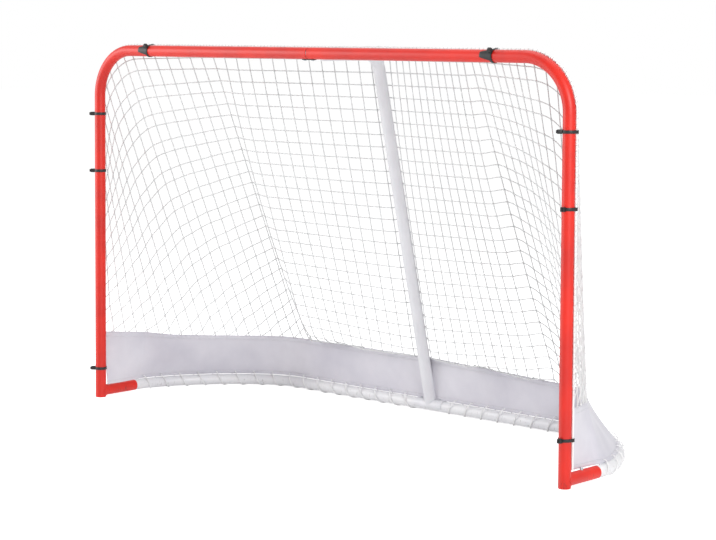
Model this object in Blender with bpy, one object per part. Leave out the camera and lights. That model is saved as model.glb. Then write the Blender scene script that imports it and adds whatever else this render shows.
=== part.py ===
# Street hockey goal: bent tube front frame, bowed base, centre strut, net with a vinyl skirt.
# Units are metres, +Z is up, +X is to the shooter's right and +Y runs back into the net.
# The origin is on the floor, in the middle of the goal's outline.

import math

import bmesh
import bpy
from mathutils import Matrix, Vector

# Driving sizes of the frame
POST_SPACING = 1.910
FRAME_HEIGHT = 1.170
TUBE_DIAMETER = 0.035
TUBE_WALL = 0.0014
CORNER_RADIUS = 0.150
SOCKET_LENGTH = 0.146
POST_PLUG_DEPTH = 0.016

# Bowed base tube
BASE_DEPTH = 0.575
SWAGE_START = 0.046
SWAGE_WALL = 0.0012
SWAGE_TAPER = 0.010
SIDE_BULGE = 0.020
SIDE_REACH = 0.095
BACK_CORNER_WIDTH = 0.375
CORNER_PULL = 0.205

# Joints inside the crossbar and the base
SLEEVE_LENGTH = 0.160
SLEEVE_WALL = 0.0012
JOINT_GAP = 0.0006

# Centre strut
STRUT_DIAMETER = 0.038
STRUT_WALL = 0.0014
STRUT_TOP_DEPTH = 0.302
STRUT_TOP_DROP = 0.004
STRUT_BEND_RADIUS = 0.060
STRUT_END_DIAMETER = 0.025
STRUT_END_LENGTH = 0.020
STRUT_END_TAPER = 0.030

# Saddles and screws
SADDLE_THICKNESS = 0.002
TOP_SADDLE_LENGTH = 0.050
TOP_SADDLE_UPPER_ANGLE = 25.0
TOP_SADDLE_LOWER_ANGLE = -104.0
TOP_SCREW_SPACING = 0.032
FOOT_SADDLE_LENGTH = 0.110
FOOT_SADDLE_WRAP = 104.0
FOOT_SCREW_SPACING = 0.078
SCREW_DIAMETER = 0.0048
SCREW_LENGTH = 0.010
SCREW_HEAD_DIAMETER = 0.0096
SCREW_HEAD_HEIGHT = 0.0028

# Spring lock buttons
BUTTON_POSITION = 0.076
BUTTON_DIAMETER = 0.0095
BUTTON_STAND = 0.0075
BUTTON_FLANGE_DIAMETER = 0.013
BUTTON_FLANGE_HEIGHT = 0.0015
SPRING_WIDTH = 0.008
SPRING_THICKNESS = 0.0008
SPRING_REACH = 0.044

# Net, skirt, edge rope and lacing
ROPE_DIAMETER = 0.006
ROPE_ANGLE = 60.0
ROPE_END_HEIGHT = 0.050
STRAND = 0.004
BORDER_STRAND = 0.005
NET_THICKNESS = 0.003
HALF_NET_COLUMN_COUNT = 10
SIDE_COLUMN_COUNT = 6
NET_ROW_COUNT = 6
TOP_ROW_COUNT = 2
RIDGE_CORNER_WIDTH = 0.515
RIDGE_CORNER_PULL = 0.260
RIDGE_SIDE_REACH = 0.150
SKIRT_THICKNESS = 0.0015
SKIRT_TOP = 0.176
HEM_HEIGHT = 0.028
LACING_DIAMETER = 0.0035
LACING_TURN_COUNT = 6
LACING_STEP_COUNT = 24
LACING_FLAT = 0.1

# Cable ties
TIE_WIDTH = 0.0048
TIE_THICKNESS = 0.0012
TIE_HEAD = (0.009, 0.0055, 0.007)
TIE_TAIL = 0.010
BAR_TIE_TAIL = 0.026
UPPER_TIE_DROP = 0.0505
MIDDLE_TIE_DROP = 0.2495
LOWER_TIE_HEIGHT = 0.115
POST_TIE_HEAD_ANGLE = 222.0
BAR_TIE_INSET = 0.105
BAR_TIE_HEAD_ANGLE = 215.0

# Clearances
FIT = 0.0003
HOLE_CLEARANCE = 0.0003
CORD_GAP = 0.0004

# Faceting
SIDES = 20
SMALL_SIDES = 12
COPE_SIDES = 24
BEND_STEPS = 8
CORNER_STEPS = 14

# Sizes that follow from those above
TUBE_RADIUS = TUBE_DIAMETER / 2
BORE_RADIUS = TUBE_RADIUS - TUBE_WALL
FLAT = math.cos(math.pi / SIDES)
INNER_RADIUS = BORE_RADIUS * FLAT - FIT
POST_X = POST_SPACING / 2
BAR_HEIGHT = FRAME_HEIGHT - TUBE_RADIUS
BEND_START = BAR_HEIGHT - CORNER_RADIUS
STRUT_TOP_HEIGHT = BAR_HEIGHT - STRUT_TOP_DROP
BASE_HEIGHT = TUBE_RADIUS + CORD_GAP + LACING_DIAMETER * (1 - LACING_FLAT)
STRUT_RADIUS = STRUT_DIAMETER / 2
SADDLE_INNER = TUBE_RADIUS + FIT
SADDLE_OUTER = SADDLE_INNER + SADDLE_THICKNESS
ROPE_RADIUS = ROPE_DIAMETER / 2
ROPE_OFFSET = TUBE_RADIUS + ROPE_RADIUS + CORD_GAP
ROPE_BACK = ROPE_OFFSET * math.cos(math.radians(ROPE_ANGLE))
ROPE_OUT = ROPE_OFFSET * math.sin(math.radians(ROPE_ANGLE))
NET_START = ROPE_BACK + ROPE_RADIUS + TIE_THICKNESS + 4 * FIT
LACING_RADIUS = TUBE_RADIUS + CORD_GAP + LACING_DIAMETER / 2
HEM_OFFSET = LACING_RADIUS + LACING_DIAMETER / 2 + FIT + SKIRT_THICKNESS / 2
NET_CORNER = SIDE_COLUMN_COUNT / HALF_NET_COLUMN_COUNT
FOLD_INSET = NET_THICKNESS / 2 + 3 * FIT
TIE_REACH = TUBE_RADIUS / FLAT + FIT + TIE_THICKNESS / 2 + TIE_HEAD[1] + TIE_TAIL
FRONT = TIE_REACH * math.sin(math.radians(POST_TIE_HEAD_ANGLE))
BACK = BASE_DEPTH + HEM_OFFSET + SKIRT_THICKNESS / 2
POST_LINE = -(FRONT + BACK) / 2

# Strut line in the middle plane, from the base tube up to the height of the crossbar
STRUT_LEAN = (BASE_DEPTH - STRUT_TOP_DEPTH) / (STRUT_TOP_HEIGHT - BASE_HEIGHT)
STRUT_SLANT = math.atan(STRUT_LEAN)

PAINT = {
    "red_powder_coat": ((0.78, 0.036, 0.018), 0.32, 0.0),
    "white_powder_coat": ((0.78, 0.78, 0.82), 0.36, 0.0),
    "zinc_plate": ((0.55, 0.56, 0.58), 0.35, 1.0),
    "black_nylon": ((0.012, 0.012, 0.013), 0.5, 0.0),
    "net_twine": ((0.86, 0.86, 0.85), 0.8, 0.0),
    "skirt_vinyl": ((0.66, 0.66, 0.74), 0.45, 0.0),
    "white_cord": ((0.84, 0.84, 0.84), 0.75, 0.0),
}


def clear_scene():
    for item in list(bpy.data.objects):
        bpy.data.objects.remove(item, do_unlink=True)


def material(name):
    found = bpy.data.materials.get(name)
    if found:
        return found
    colour, roughness, metallic = PAINT[name]
    made = bpy.data.materials.new(name)
    made.use_nodes = True
    shader = made.node_tree.nodes["Principled BSDF"]
    shader.inputs["Base Color"].default_value = (*colour, 1.0)
    shader.inputs["Roughness"].default_value = roughness
    shader.inputs["Metallic"].default_value = metallic
    return made


# A point given from the line of the posts, moved into the part's frame
def from_posts(x, y, z):
    return Vector((x, y + POST_LINE, z))


# An object whose origin is at the given place, from faces written about that place
def add_object(name, verts, faces, paint, origin=(0, 0, 0)):
    place = Vector(origin)
    mesh = bpy.data.meshes.new(name)
    mesh.from_pydata([Vector(v) - place for v in verts], [], faces)
    shell = bmesh.new()
    shell.from_mesh(mesh)
    bmesh.ops.recalc_face_normals(shell, faces=shell.faces)
    if shell.calc_volume(signed=True) < 0:
        bmesh.ops.reverse_faces(shell, faces=shell.faces)
    shell.to_mesh(mesh)
    shell.free()
    mesh.materials.append(material(paint))
    mesh.shade_smooth()
    mesh.set_sharp_from_angle(angle=math.radians(35))
    made = bpy.data.objects.new(name, mesh)
    made.location = place
    bpy.context.scene.collection.objects.link(made)
    return made


# A hidden tool that a Boolean uses
def add_tool(name, verts, faces):
    tool = add_object(name, verts, faces, "zinc_plate")
    tool.hide_render = True
    tool.display_type = "WIRE"
    return tool


def boolean(target, tool, operation="DIFFERENCE"):
    step = target.modifiers.new(tool.name, "BOOLEAN")
    step.operation = operation
    step.solver = "EXACT"
    step.object = tool


# Directions across a path: each is the one before it, turned as little as the path allows
def cross_frames(points, first_side):
    frames = []
    side = Vector(first_side)
    for i, point in enumerate(points):
        before = points[max(i - 1, 0)]
        after = points[min(i + 1, len(points) - 1)]
        along = (after - before).normalized()
        side = (side - along * side.dot(along)).normalized()
        frames.append((side, along.cross(side)))
    return frames


def ring(centre, frame, radius, sides, turn=0.0):
    steps = [turn + 2 * math.pi * k / sides for k in range(sides)]
    return [centre + radius * (math.cos(a) * frame[0] + math.sin(a) * frame[1]) for a in steps]


# Faces between two loops of the same length, given by where each loop starts
def join_loops(first, second, count):
    return [
        (first + k, first + (k + 1) % count, second + (k + 1) % count, second + k)
        for k in range(count)
    ]


# A tube along a path, hollow from end to end, with a radius at each point
def pipe_mesh(points, outer, inner, first_side, sides=SIDES):
    frames = cross_frames(points, first_side)
    verts = []
    for centre, frame, radius in zip(points, frames, outer):
        verts += ring(centre, frame, radius, sides)
    for centre, frame, radius in zip(points, frames, inner):
        verts += ring(centre, frame, radius, sides)
    half = len(points) * sides
    faces = []
    for i in range(len(points) - 1):
        faces += join_loops(i * sides, (i + 1) * sides, sides)
        faces += join_loops(half + (i + 1) * sides, half + i * sides, sides)
    faces += join_loops(half, 0, sides)
    faces += join_loops(half - sides, 2 * half - sides, sides)
    return verts, faces


# A solid round bar along a path
def cord_mesh(points, radius, first_side, sides):
    frames = cross_frames(points, first_side)
    verts = []
    for centre, frame in zip(points, frames):
        verts += ring(centre, frame, radius, sides)
    faces = []
    for i in range(len(points) - 1):
        faces += join_loops(i * sides, (i + 1) * sides, sides)
    faces.append(tuple(reversed(range(sides))))
    faces.append(tuple(len(verts) - sides + k for k in range(sides)))
    return verts, faces


# A turned solid: radii and places along an axis
def turned_mesh(centre, axis, profile, sides=SMALL_SIDES):
    along = Vector(axis).normalized()
    side = along.orthogonal().normalized()
    frame = (side, along.cross(side))
    verts = []
    for radius, place in profile:
        verts += ring(Vector(centre) + along * place, frame, radius, sides)
    faces = []
    for i in range(len(profile) - 1):
        faces += join_loops(i * sides, (i + 1) * sides, sides)
    faces.append(tuple(reversed(range(sides))))
    faces.append(tuple(len(verts) - sides + k for k in range(sides)))
    return verts, faces


# A flat outline given as points, pushed along a vector
def prism_mesh(outline, push):
    count = len(outline)
    verts = [Vector(p) for p in outline] + [Vector(p) + Vector(push) for p in outline]
    faces = join_loops(0, count, count)
    faces.append(tuple(reversed(range(count))))
    faces.append(tuple(range(count, 2 * count)))
    return verts, faces


def arc(centre, radius, start, end, steps, first_axis, second_axis):
    points = []
    for k in range(steps + 1):
        angle = math.radians(start + (end - start) * k / steps)
        out = math.cos(angle) * Vector(first_axis) + math.sin(angle) * Vector(second_axis)
        points.append(Vector(centre) + radius * out)
    return points


# Front frame: each half is a post, a bent corner and half of the crossbar in one tube
def frame_line(side, offset=0.0, back=0.0, foot=0.0, end=0.0):
    bend = CORNER_RADIUS + offset
    corner = from_posts(side * (POST_X - CORNER_RADIUS), back, BEND_START)
    points = [from_posts(side * (POST_X + offset), back, foot)]
    points += arc(corner, bend, 0, 90, BEND_STEPS, (side, 0, 0), (0, 0, 1))
    points.append(from_posts(side * end, back, BAR_HEIGHT + offset))
    return points


def screw_cutter(name, place, axis):
    reach = SADDLE_THICKNESS + TUBE_WALL + SLEEVE_WALL + SCREW_LENGTH
    radius = SCREW_DIAMETER / 2 + HOLE_CLEARANCE
    return add_tool(name, *turned_mesh(place, axis, [(radius, -reach), (radius, reach)]))


def top_screw_place(side):
    return from_posts(side * TOP_SCREW_SPACING / 2, 0, BAR_HEIGHT - SADDLE_OUTER)


def foot_screw_place(side):
    return from_posts(side * FOOT_SCREW_SPACING / 2, BASE_DEPTH, BASE_HEIGHT + SADDLE_OUTER)


def make_frame_tube(name, side):
    points = frame_line(side, end=JOINT_GAP / 2)
    outer = [TUBE_RADIUS] * len(points)
    inner = [BORE_RADIUS] * len(points)
    tube = add_object(name, *pipe_mesh(points, outer, inner, (0, 1, 0)), "red_powder_coat")
    boolean(tube, screw_cutter(name + "_screw_tool", top_screw_place(side), (0, 0, 1)))
    return tube


def make_sleeve(name, centre, height):
    half = SLEEVE_LENGTH / 2
    points = [from_posts(x, centre, height) for x in (-half, half)]
    outer = [INNER_RADIUS] * 2
    inner = [INNER_RADIUS - SLEEVE_WALL] * 2
    return add_object(name, *pipe_mesh(points, outer, inner, (0, 1, 0)), "zinc_plate")


def make_post_plug(name, side):
    place = from_posts(side * POST_X, 0, 0)
    chamfer = POST_PLUG_DEPTH / 8
    profile = [
        (INNER_RADIUS, 0),
        (INNER_RADIUS, POST_PLUG_DEPTH - chamfer),
        (INNER_RADIUS - chamfer, POST_PLUG_DEPTH),
    ]
    return add_object(name, *turned_mesh(place, (0, 0, 1), profile, SIDES), "black_nylon", place)


# Foot socket: a short tube welded to the back of the post, coped to its round
def make_foot_socket(name, side):
    points = [from_posts(side * POST_X, y, BASE_HEIGHT) for y in (0, SOCKET_LENGTH)]
    mesh = pipe_mesh(points, [TUBE_RADIUS] * 2, [BORE_RADIUS] * 2, (0, 0, 1))
    socket = add_object(name, *mesh, "red_powder_coat")
    post = [(TUBE_RADIUS / FLAT + FIT, -TUBE_DIAMETER), (TUBE_RADIUS / FLAT + FIT, 4 * TUBE_DIAMETER)]
    place = from_posts(side * POST_X, 0, 0)
    boolean(socket, add_tool(name + "_cope_tool", *turned_mesh(place, (0, 0, 1), post, COPE_SIDES)))
    boolean(socket, button_cutter(name + "_hole_tool", side))
    return socket


def button_place(side):
    return from_posts(side * POST_X, BUTTON_POSITION, BASE_HEIGHT)


def button_cutter(name, side):
    radius = BUTTON_DIAMETER / 2 + HOLE_CLEARANCE
    profile = [(radius, 0), (radius, 2 * TUBE_DIAMETER)]
    return add_tool(name, *turned_mesh(button_place(side), (0, 0, 1), profile))


# Base outline from a socket to the middle of the back, as points in plan
def base_plan():
    ends = (
        Vector((POST_X, SOCKET_LENGTH)),
        Vector((POST_X + SIDE_BULGE, SOCKET_LENGTH + SIDE_REACH)),
        Vector((POST_X - BACK_CORNER_WIDTH + CORNER_PULL, BASE_DEPTH)),
        Vector((POST_X - BACK_CORNER_WIDTH, BASE_DEPTH)),
    )
    return [curve_point(ends, k / CORNER_STEPS) for k in range(CORNER_STEPS + 1)]


def curve_point(ends, t):
    s = 1 - t
    return s**3 * ends[0] + 3 * s * s * t * ends[1] + 3 * s * t * t * ends[2] + t**3 * ends[3]


def make_base_tube(name, side):
    plan = [Vector((POST_X, SWAGE_START)), Vector((POST_X, SOCKET_LENGTH + JOINT_GAP))]
    first_bend = Vector((POST_X, SOCKET_LENGTH + SWAGE_TAPER))
    plan += [first_bend] + base_plan()[2:] + [Vector((JOINT_GAP / 2, BASE_DEPTH))]
    points = [from_posts(side * p.x, p.y, BASE_HEIGHT) for p in plan]
    swaged = [INNER_RADIUS] * 2
    full = [TUBE_RADIUS] * (len(points) - 2)
    inner = [INNER_RADIUS - SWAGE_WALL] * 2 + [BORE_RADIUS] * (len(points) - 2)
    mesh = pipe_mesh(points, swaged + full, inner, (0, 0, 1))
    tube = add_object(name, *mesh, "white_powder_coat")
    boolean(tube, button_cutter(name + "_hole_tool", side))
    boolean(tube, screw_cutter(name + "_screw_tool", foot_screw_place(side), (0, 0, 1)))
    return tube


def strut_line():
    turn = math.pi / 2 - STRUT_SLANT
    tangent = STRUT_BEND_RADIUS * math.tan(turn / 2)
    start = STRUT_TOP_DEPTH - tangent
    centre = from_posts(0, start, STRUT_TOP_HEIGHT - STRUT_BEND_RADIUS)
    points = [from_posts(0, TUBE_RADIUS / 4, STRUT_TOP_HEIGHT)]
    points.append(from_posts(0, TUBE_RADIUS + STRUT_END_LENGTH, STRUT_TOP_HEIGHT))
    points.append(from_posts(0, TUBE_RADIUS + STRUT_END_LENGTH + STRUT_END_TAPER, STRUT_TOP_HEIGHT))
    points += arc(centre, STRUT_BEND_RADIUS, 90, 90 - math.degrees(turn), BEND_STEPS, (0, 1, 0), (0, 0, 1))
    points.append(from_posts(0, BASE_DEPTH - TUBE_RADIUS / 4 * STRUT_LEAN, BASE_HEIGHT + TUBE_RADIUS / 4))
    return points


def make_strut():
    points = strut_line()
    outer = [STRUT_END_DIAMETER / 2] * 2 + [STRUT_RADIUS] * (len(points) - 2)
    inner = [r - STRUT_WALL for r in outer]
    strut = add_object("centre_strut", *pipe_mesh(points, outer, inner, (1, 0, 0)), "white_powder_coat")
    cope = SADDLE_OUTER / FLAT + FIT
    for end, y, z in (("top", 0, BAR_HEIGHT), ("foot", BASE_DEPTH, BASE_HEIGHT)):
        profile = [(cope, -TUBE_DIAMETER), (cope, TUBE_DIAMETER)]
        tool = turned_mesh(from_posts(0, y, z), (1, 0, 0), profile, COPE_SIDES)
        boolean(strut, add_tool("strut_" + end + "_cope_tool", *tool))
    return strut


# A bent plate that hugs a tube running along X: angles are measured from +Y towards +Z
def saddle_mesh(y, z, length, start, end):
    centre = from_posts(-length / 2, y, z)
    steps = max(6, round(abs(end - start) / 14))
    outline = arc(centre, SADDLE_OUTER, start, end, steps, (0, 1, 0), (0, 0, 1))
    outline += arc(centre, SADDLE_INNER, end, start, steps, (0, 1, 0), (0, 0, 1))
    return prism_mesh(outline, (length, 0, 0))


def make_saddles():
    top = saddle_mesh(0, BAR_HEIGHT, TOP_SADDLE_LENGTH, TOP_SADDLE_UPPER_ANGLE, TOP_SADDLE_LOWER_ANGLE)
    upper = add_object("strut_top_saddle", *top, "black_nylon")
    start, end = 90 - FOOT_SADDLE_WRAP, 90 + FOOT_SADDLE_WRAP
    foot = saddle_mesh(BASE_DEPTH, BASE_HEIGHT, FOOT_SADDLE_LENGTH, start, end)
    lower = add_object("strut_foot_saddle", *foot, "white_powder_coat")
    for side, word in ((-1, "left"), (1, "right")):
        boolean(upper, screw_cutter("top_saddle_tool_" + word, top_screw_place(side), (0, 0, 1)))
        boolean(lower, screw_cutter("foot_saddle_tool_" + word, foot_screw_place(side), (0, 0, 1)))


# A pan head screw: its head rests on the saddle and its shank points along the given axis
def make_screw(name, place, axis):
    seat = -FIT
    shank = SCREW_DIAMETER / 2
    head = SCREW_HEAD_DIAMETER / 2
    profile = [
        (head * 0.6, seat - SCREW_HEAD_HEIGHT),
        (head * 0.92, seat - SCREW_HEAD_HEIGHT * 0.7),
        (head, seat - SCREW_HEAD_HEIGHT * 0.3),
        (head, seat),
        (shank, seat),
        (shank, SCREW_LENGTH - shank),
        (shank * 0.4, SCREW_LENGTH),
    ]
    return add_object(name, *turned_mesh(place, axis, profile), "zinc_plate", place)


# Lock button: a domed pin whose flange bears on the inside of the swaged tube end
def make_button(name, side):
    ceiling = (INNER_RADIUS - SWAGE_WALL) * FLAT - FIT
    flange = math.sqrt(ceiling**2 - (BUTTON_FLANGE_DIAMETER / 2) ** 2)
    pin = BUTTON_DIAMETER / 2
    top = TUBE_RADIUS + BUTTON_STAND
    profile = [
        (BUTTON_FLANGE_DIAMETER / 2, flange - BUTTON_FLANGE_HEIGHT),
        (BUTTON_FLANGE_DIAMETER / 2, flange),
        (pin, flange),
        (pin, top - pin * 0.5),
        (pin * 0.82, top - pin * 0.18),
        (pin * 0.45, top),
    ]
    place = button_place(side)
    return add_object(name, *turned_mesh(place, (0, 0, 1), profile), "zinc_plate", place)


# Leaf spring under a button: a hairpin strip, its lower leg on the floor of the tube
def make_button_spring(name, side):
    bore = (INNER_RADIUS - SWAGE_WALL) * FLAT - FIT
    floor = -math.sqrt(bore**2 - (SPRING_WIDTH / 2) ** 2)
    flange = math.sqrt(bore**2 - (BUTTON_FLANGE_DIAMETER / 2) ** 2)
    roof = flange - BUTTON_FLANGE_HEIGHT - FIT
    tip = BUTTON_POSITION - BUTTON_FLANGE_DIAMETER / 2
    fold = 0.004
    heel = tip + SPRING_REACH
    line = [(tip, floor), (heel - fold, floor)]
    line += [(heel - fold + fold * math.sin(a), floor + fold - fold * math.cos(a)) for a in (0.8, 1.6, 2.3)]
    line += [(BUTTON_POSITION + BUTTON_FLANGE_DIAMETER / 2, roof - SPRING_THICKNESS), (tip, roof - SPRING_THICKNESS)]
    upper = strip_side(line, SPRING_THICKNESS)
    x = side * POST_X - SPRING_WIDTH / 2
    outline = [from_posts(x, y, BASE_HEIGHT + z) for y, z in line + upper[::-1]]
    return add_object(name, *prism_mesh(outline, (SPRING_WIDTH, 0, 0)), "zinc_plate", button_place(side))


# The other side of a thin strip, to the left of its line as it runs
def strip_side(line, thickness):
    moved = []
    for i, here in enumerate(line):
        before = Vector(line[max(i - 1, 0)])
        after = Vector(line[min(i + 1, len(line) - 1)])
        along = (after - before).normalized()
        moved.append((here[0] - along.y * thickness, here[1] + along.x * thickness))
    return moved


# Edge rope of the net: it follows the frame behind its tube, held there by the ties
def make_edge_rope():
    left = frame_line(-1, ROPE_OUT, ROPE_BACK, ROPE_END_HEIGHT, 0.0)
    right = frame_line(1, ROPE_OUT, ROPE_BACK, ROPE_END_HEIGHT, 0.0)
    points = left + right[-2::-1]
    return add_object("net_edge_rope", *cord_mesh(points, ROPE_RADIUS, (0, 1, 0), 8), "white_cord")


# A closed strap round a tube and the rope beside it: points in the strap's own plane
def strap_loop(extra):
    big = TUBE_RADIUS / FLAT + FIT + extra
    small = ROPE_RADIUS + FIT + extra
    spread = math.acos((big - small) / ROPE_OFFSET)
    points = []
    for k in range(11):
        angle = spread + (2 * math.pi - 2 * spread) * k / 10
        points.append((big * math.cos(angle), big * math.sin(angle)))
    for k in range(4):
        angle = -spread + 2 * spread * k / 3
        points.append((ROPE_OFFSET + small * math.cos(angle), small * math.sin(angle)))
    return points


# Cable tie: strap, ratchet head and cut tail in one moulding
def make_tie(name, centre, rope_way, axis, head_way, tail):
    rope_way, axis, head_way = Vector(rope_way), Vector(axis), Vector(head_way).normalized()
    across = axis.cross(rope_way)
    inner, outer = strap_loop(0.0), strap_loop(TIE_THICKNESS)
    count = len(inner)
    verts = []
    for loop in (inner, outer):
        for push in (-TIE_WIDTH / 2, TIE_WIDTH / 2):
            verts += [centre + a * rope_way + b * across + push * axis for a, b in loop]
    faces = join_loops(0, count, count) + join_loops(count, 3 * count, count)
    faces += join_loops(3 * count, 2 * count, count) + join_loops(2 * count, 0, count)
    tie = add_object(name, verts, faces, "black_nylon")
    long, high, wide = TIE_HEAD
    base = centre + head_way * (TUBE_RADIUS / FLAT + FIT + TIE_THICKNESS / 2)
    along = axis.cross(head_way)
    corners = [base + s * along * long / 2 + t * axis * wide / 2 for s, t in ((-1, -1), (1, -1), (1, 1), (-1, 1))]
    boolean(tie, add_tool(name + "_head_tool", *prism_mesh(corners, head_way * high)), "UNION")
    boolean(tie, add_tool(name + "_tail_tool", *tail_mesh(base, high, head_way, along, axis, tail)), "UNION")
    return tie


# The cut end of the strap: it stands out of the head, or lies along the tube
def tail_mesh(base, high, head_way, along, axis, tail):
    half = TIE_WIDTH / 2
    if tail > TIE_TAIL:
        root = base + head_way * high / 2
        corners = [root + t * half * along + s * half * head_way for s, t in ((-1, -1), (1, -1), (1, 1), (-1, 1))]
        return tapered_mesh(corners, -axis * tail, 0.35)
    root = base + head_way * high / 2
    thin = TIE_THICKNESS * 0.8
    corners = [root + s * thin * along + t * half * axis for s, t in ((-1, -1), (1, -1), (1, 1), (-1, 1))]
    return tapered_mesh(corners, head_way * (high / 2 + tail), 0.7)


def tapered_mesh(corners, push, keep):
    middle = sum(corners, Vector()) / len(corners)
    far = [middle + (c - middle) * keep + push for c in corners]
    faces = join_loops(0, 4, 4) + [(3, 2, 1, 0), (4, 5, 6, 7)]
    return list(corners) + far, faces


def make_ties():
    head = math.radians(POST_TIE_HEAD_ANGLE)
    head_way = (math.cos(head), math.sin(head), 0)
    rope = math.radians(ROPE_ANGLE)
    levels = {
        "upper": BEND_START - UPPER_TIE_DROP,
        "middle": BEND_START - MIDDLE_TIE_DROP,
        "lower": LOWER_TIE_HEIGHT,
    }
    for side, word in ((-1, "left"), (1, "right")):
        rope_way = (side * math.sin(rope), math.cos(rope), 0)
        for level, height in levels.items():
            centre = from_posts(side * POST_X, 0, height)
            make_tie(word + "_" + level + "_tie", centre, rope_way, (0, 0, 1), head_way, TIE_TAIL)
    front = math.radians(BAR_TIE_HEAD_ANGLE)
    front_way = (0, math.cos(front), math.sin(front))
    up_way = (0, math.cos(rope), math.sin(rope))
    for side, word in ((-1, "left"), (1, "right")):
        centre = from_posts(side * (POST_X - CORNER_RADIUS - BAR_TIE_INSET), 0, BAR_HEIGHT)
        make_tie("crossbar_" + word + "_tie", centre, up_way, (1, 0, 0), front_way, BAR_TIE_TAIL)


# Bottom outline of the net: it runs outside the base tube, from the post to the middle
def hem_plan():
    start = Vector((POST_X + HEM_OFFSET, NET_START))
    plan = base_plan()
    outline = [start]
    for i, here in enumerate(plan):
        before = plan[max(i - 1, 0)]
        after = plan[min(i + 1, len(plan) - 1)]
        along = (after - before).normalized()
        outline.append(here + HEM_OFFSET * Vector((along.y, -along.x)))
    outline.append(Vector((0, BASE_DEPTH + HEM_OFFSET)))
    return outline


# The same outline at the ridge, where the net turns down behind the strut
def ridge_plan():
    start = Vector((POST_X + ROPE_OUT, NET_START))
    depth = ridge_depth()
    ends = (
        start,
        start + Vector((0, RIDGE_SIDE_REACH)),
        Vector((POST_X - RIDGE_CORNER_WIDTH + RIDGE_CORNER_PULL, depth)),
        Vector((POST_X - RIDGE_CORNER_WIDTH, depth)),
    )
    return [curve_point(ends, k / CORNER_STEPS) for k in range(CORNER_STEPS + 1)] + [Vector((0, depth))]


def ridge_depth():
    return STRUT_TOP_DEPTH + (STRUT_RADIUS + FIT) / math.cos(STRUT_SLANT) + NET_THICKNESS


def ridge_height():
    return STRUT_TOP_HEIGHT + STRUT_RADIUS + NET_THICKNESS / 2 + FIT


# A place part of the way along an outline, by length
def along_plan(plan, share):
    steps = [(b - a).length for a, b in zip(plan, plan[1:])]
    left = share * sum(steps)
    for a, b, step in zip(plan, plan[1:], steps):
        if left <= step:
            return a.lerp(b, left / step)
        left -= step
    return plan[-1]


# Height of the ridge: it starts where the post begins to bend and peaks over the strut
def ridge_rise(share):
    return BEND_START + (ridge_height() - BEND_START) * math.sin(share * math.pi / 2)


# Net surface: share 0 is at the post and 1 in the middle, rise 0 at the hem and 1 at the ridge
def net_point(side, share, rise, hem, ridge):
    flat = along_plan(hem, share).lerp(along_plan(ridge, share), rise)
    return from_posts(side * flat.x, flat.y, HEM_HEIGHT + (ridge_rise(share) - HEM_HEIGHT) * rise)


# Front edge of the top surface: round the corner and along the crossbar, seen from the front
def bar_edge():
    centre = Vector((POST_X - CORNER_RADIUS, BEND_START))
    reach = CORNER_RADIUS + ROPE_OUT
    angles = [math.pi / 2 * k / BEND_STEPS for k in range(BEND_STEPS + 1)]
    edge = [centre + reach * Vector((math.cos(a), math.sin(a))) for a in angles]
    return edge + [Vector((0, BAR_HEIGHT + ROPE_OUT))]


# Top surface: reach 0 is at the rope on the crossbar and 1 at the ridge
def roof_point(side, share, reach, ridge):
    edge, ahead = (along_plan(bar_edge(), s) for s in (share, min(share + 0.3, 1)))
    far = (1 + (HALF_NET_COLUMN_COUNT - 1) * share) / HALF_NET_COLUMN_COUNT
    flat = along_plan(ridge, far)
    start = from_posts(side * edge.x, NET_START, edge.y)
    end = from_posts(side * flat.x, flat.y, ridge_rise(far))
    end += (from_posts(side * ahead.x, NET_START, ahead.y) - end).normalized() * FOLD_INSET
    return start.lerp(end, reach)


# Lines across a panel, as shares of its length: both edges of each strand, and the steps
# in the gaps, with True where a strand begins
def strand_lines(gaps, length, insets, steps):
    strands = []
    for k in range(gaps + 1):
        half = (BORDER_STRAND if k in (0, gaps) else STRAND) / 2
        middle = min(max(length * k / gaps, insets[0] + half), length - insets[1] - half)
        strands.append(((middle - half) / length, (middle + half) / length))
    lines = []
    for (start, end), (following, _) in zip(strands, strands[1:] + [(None, None)]):
        lines += [(start, True), (end, False)]
        if following is not None:
            lines += [(end + (following - end) * k / steps, False) for k in range(1, steps)]
    return lines


# One panel of netting in a single body: gaps between strands of a flat section
def panel_mesh(place, gaps, lengths, insets, steps):
    columns = strand_lines(gaps[0], lengths[0], insets[0], steps)
    rows = strand_lines(gaps[1], lengths[1], insets[1], 1)
    grid = [[place(u, v) for v, _ in rows] for u, _ in columns]
    verts, known, faces = [], {}, []

    def vertex(i, j, push):
        if (i, j, push) not in known:
            known[i, j, push] = len(verts)
            verts.append(grid[i][j] + push * NET_THICKNESS / 2 * grid_normal(grid, i, j))
        return known[i, j, push]

    def solid(i, j):
        inside = 0 <= i < len(columns) - 1 and 0 <= j < len(rows) - 1
        return inside and (columns[i][1] or rows[j][1])

    for i in range(len(columns) - 1):
        for j in range(len(rows) - 1):
            if not solid(i, j):
                continue
            corners = ((i, j), (i + 1, j), (i + 1, j + 1), (i, j + 1))
            faces.append([vertex(*c, -1) for c in corners])
            faces.append([vertex(*c, 1) for c in reversed(corners)])
            beside = ((i, j - 1), (i + 1, j), (i, j + 1), (i - 1, j))
            for k, other in enumerate(beside):
                if not solid(*other):
                    p, q = corners[k], corners[(k + 1) % 4]
                    faces.append([vertex(*p, -1), vertex(*p, 1), vertex(*q, 1), vertex(*q, -1)])
    return verts, faces


def grid_normal(grid, i, j):
    last_i, last_j = len(grid) - 1, len(grid[0]) - 1
    along = grid[min(i + 1, last_i)][j] - grid[max(i - 1, 0)][j]
    down = grid[i][min(j + 1, last_j)] - grid[i][max(j - 1, 0)]
    return along.cross(down).normalized()


def skirt_share():
    return (SKIRT_TOP - HEM_HEIGHT) / (ridge_height() - HEM_HEIGHT)


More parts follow.
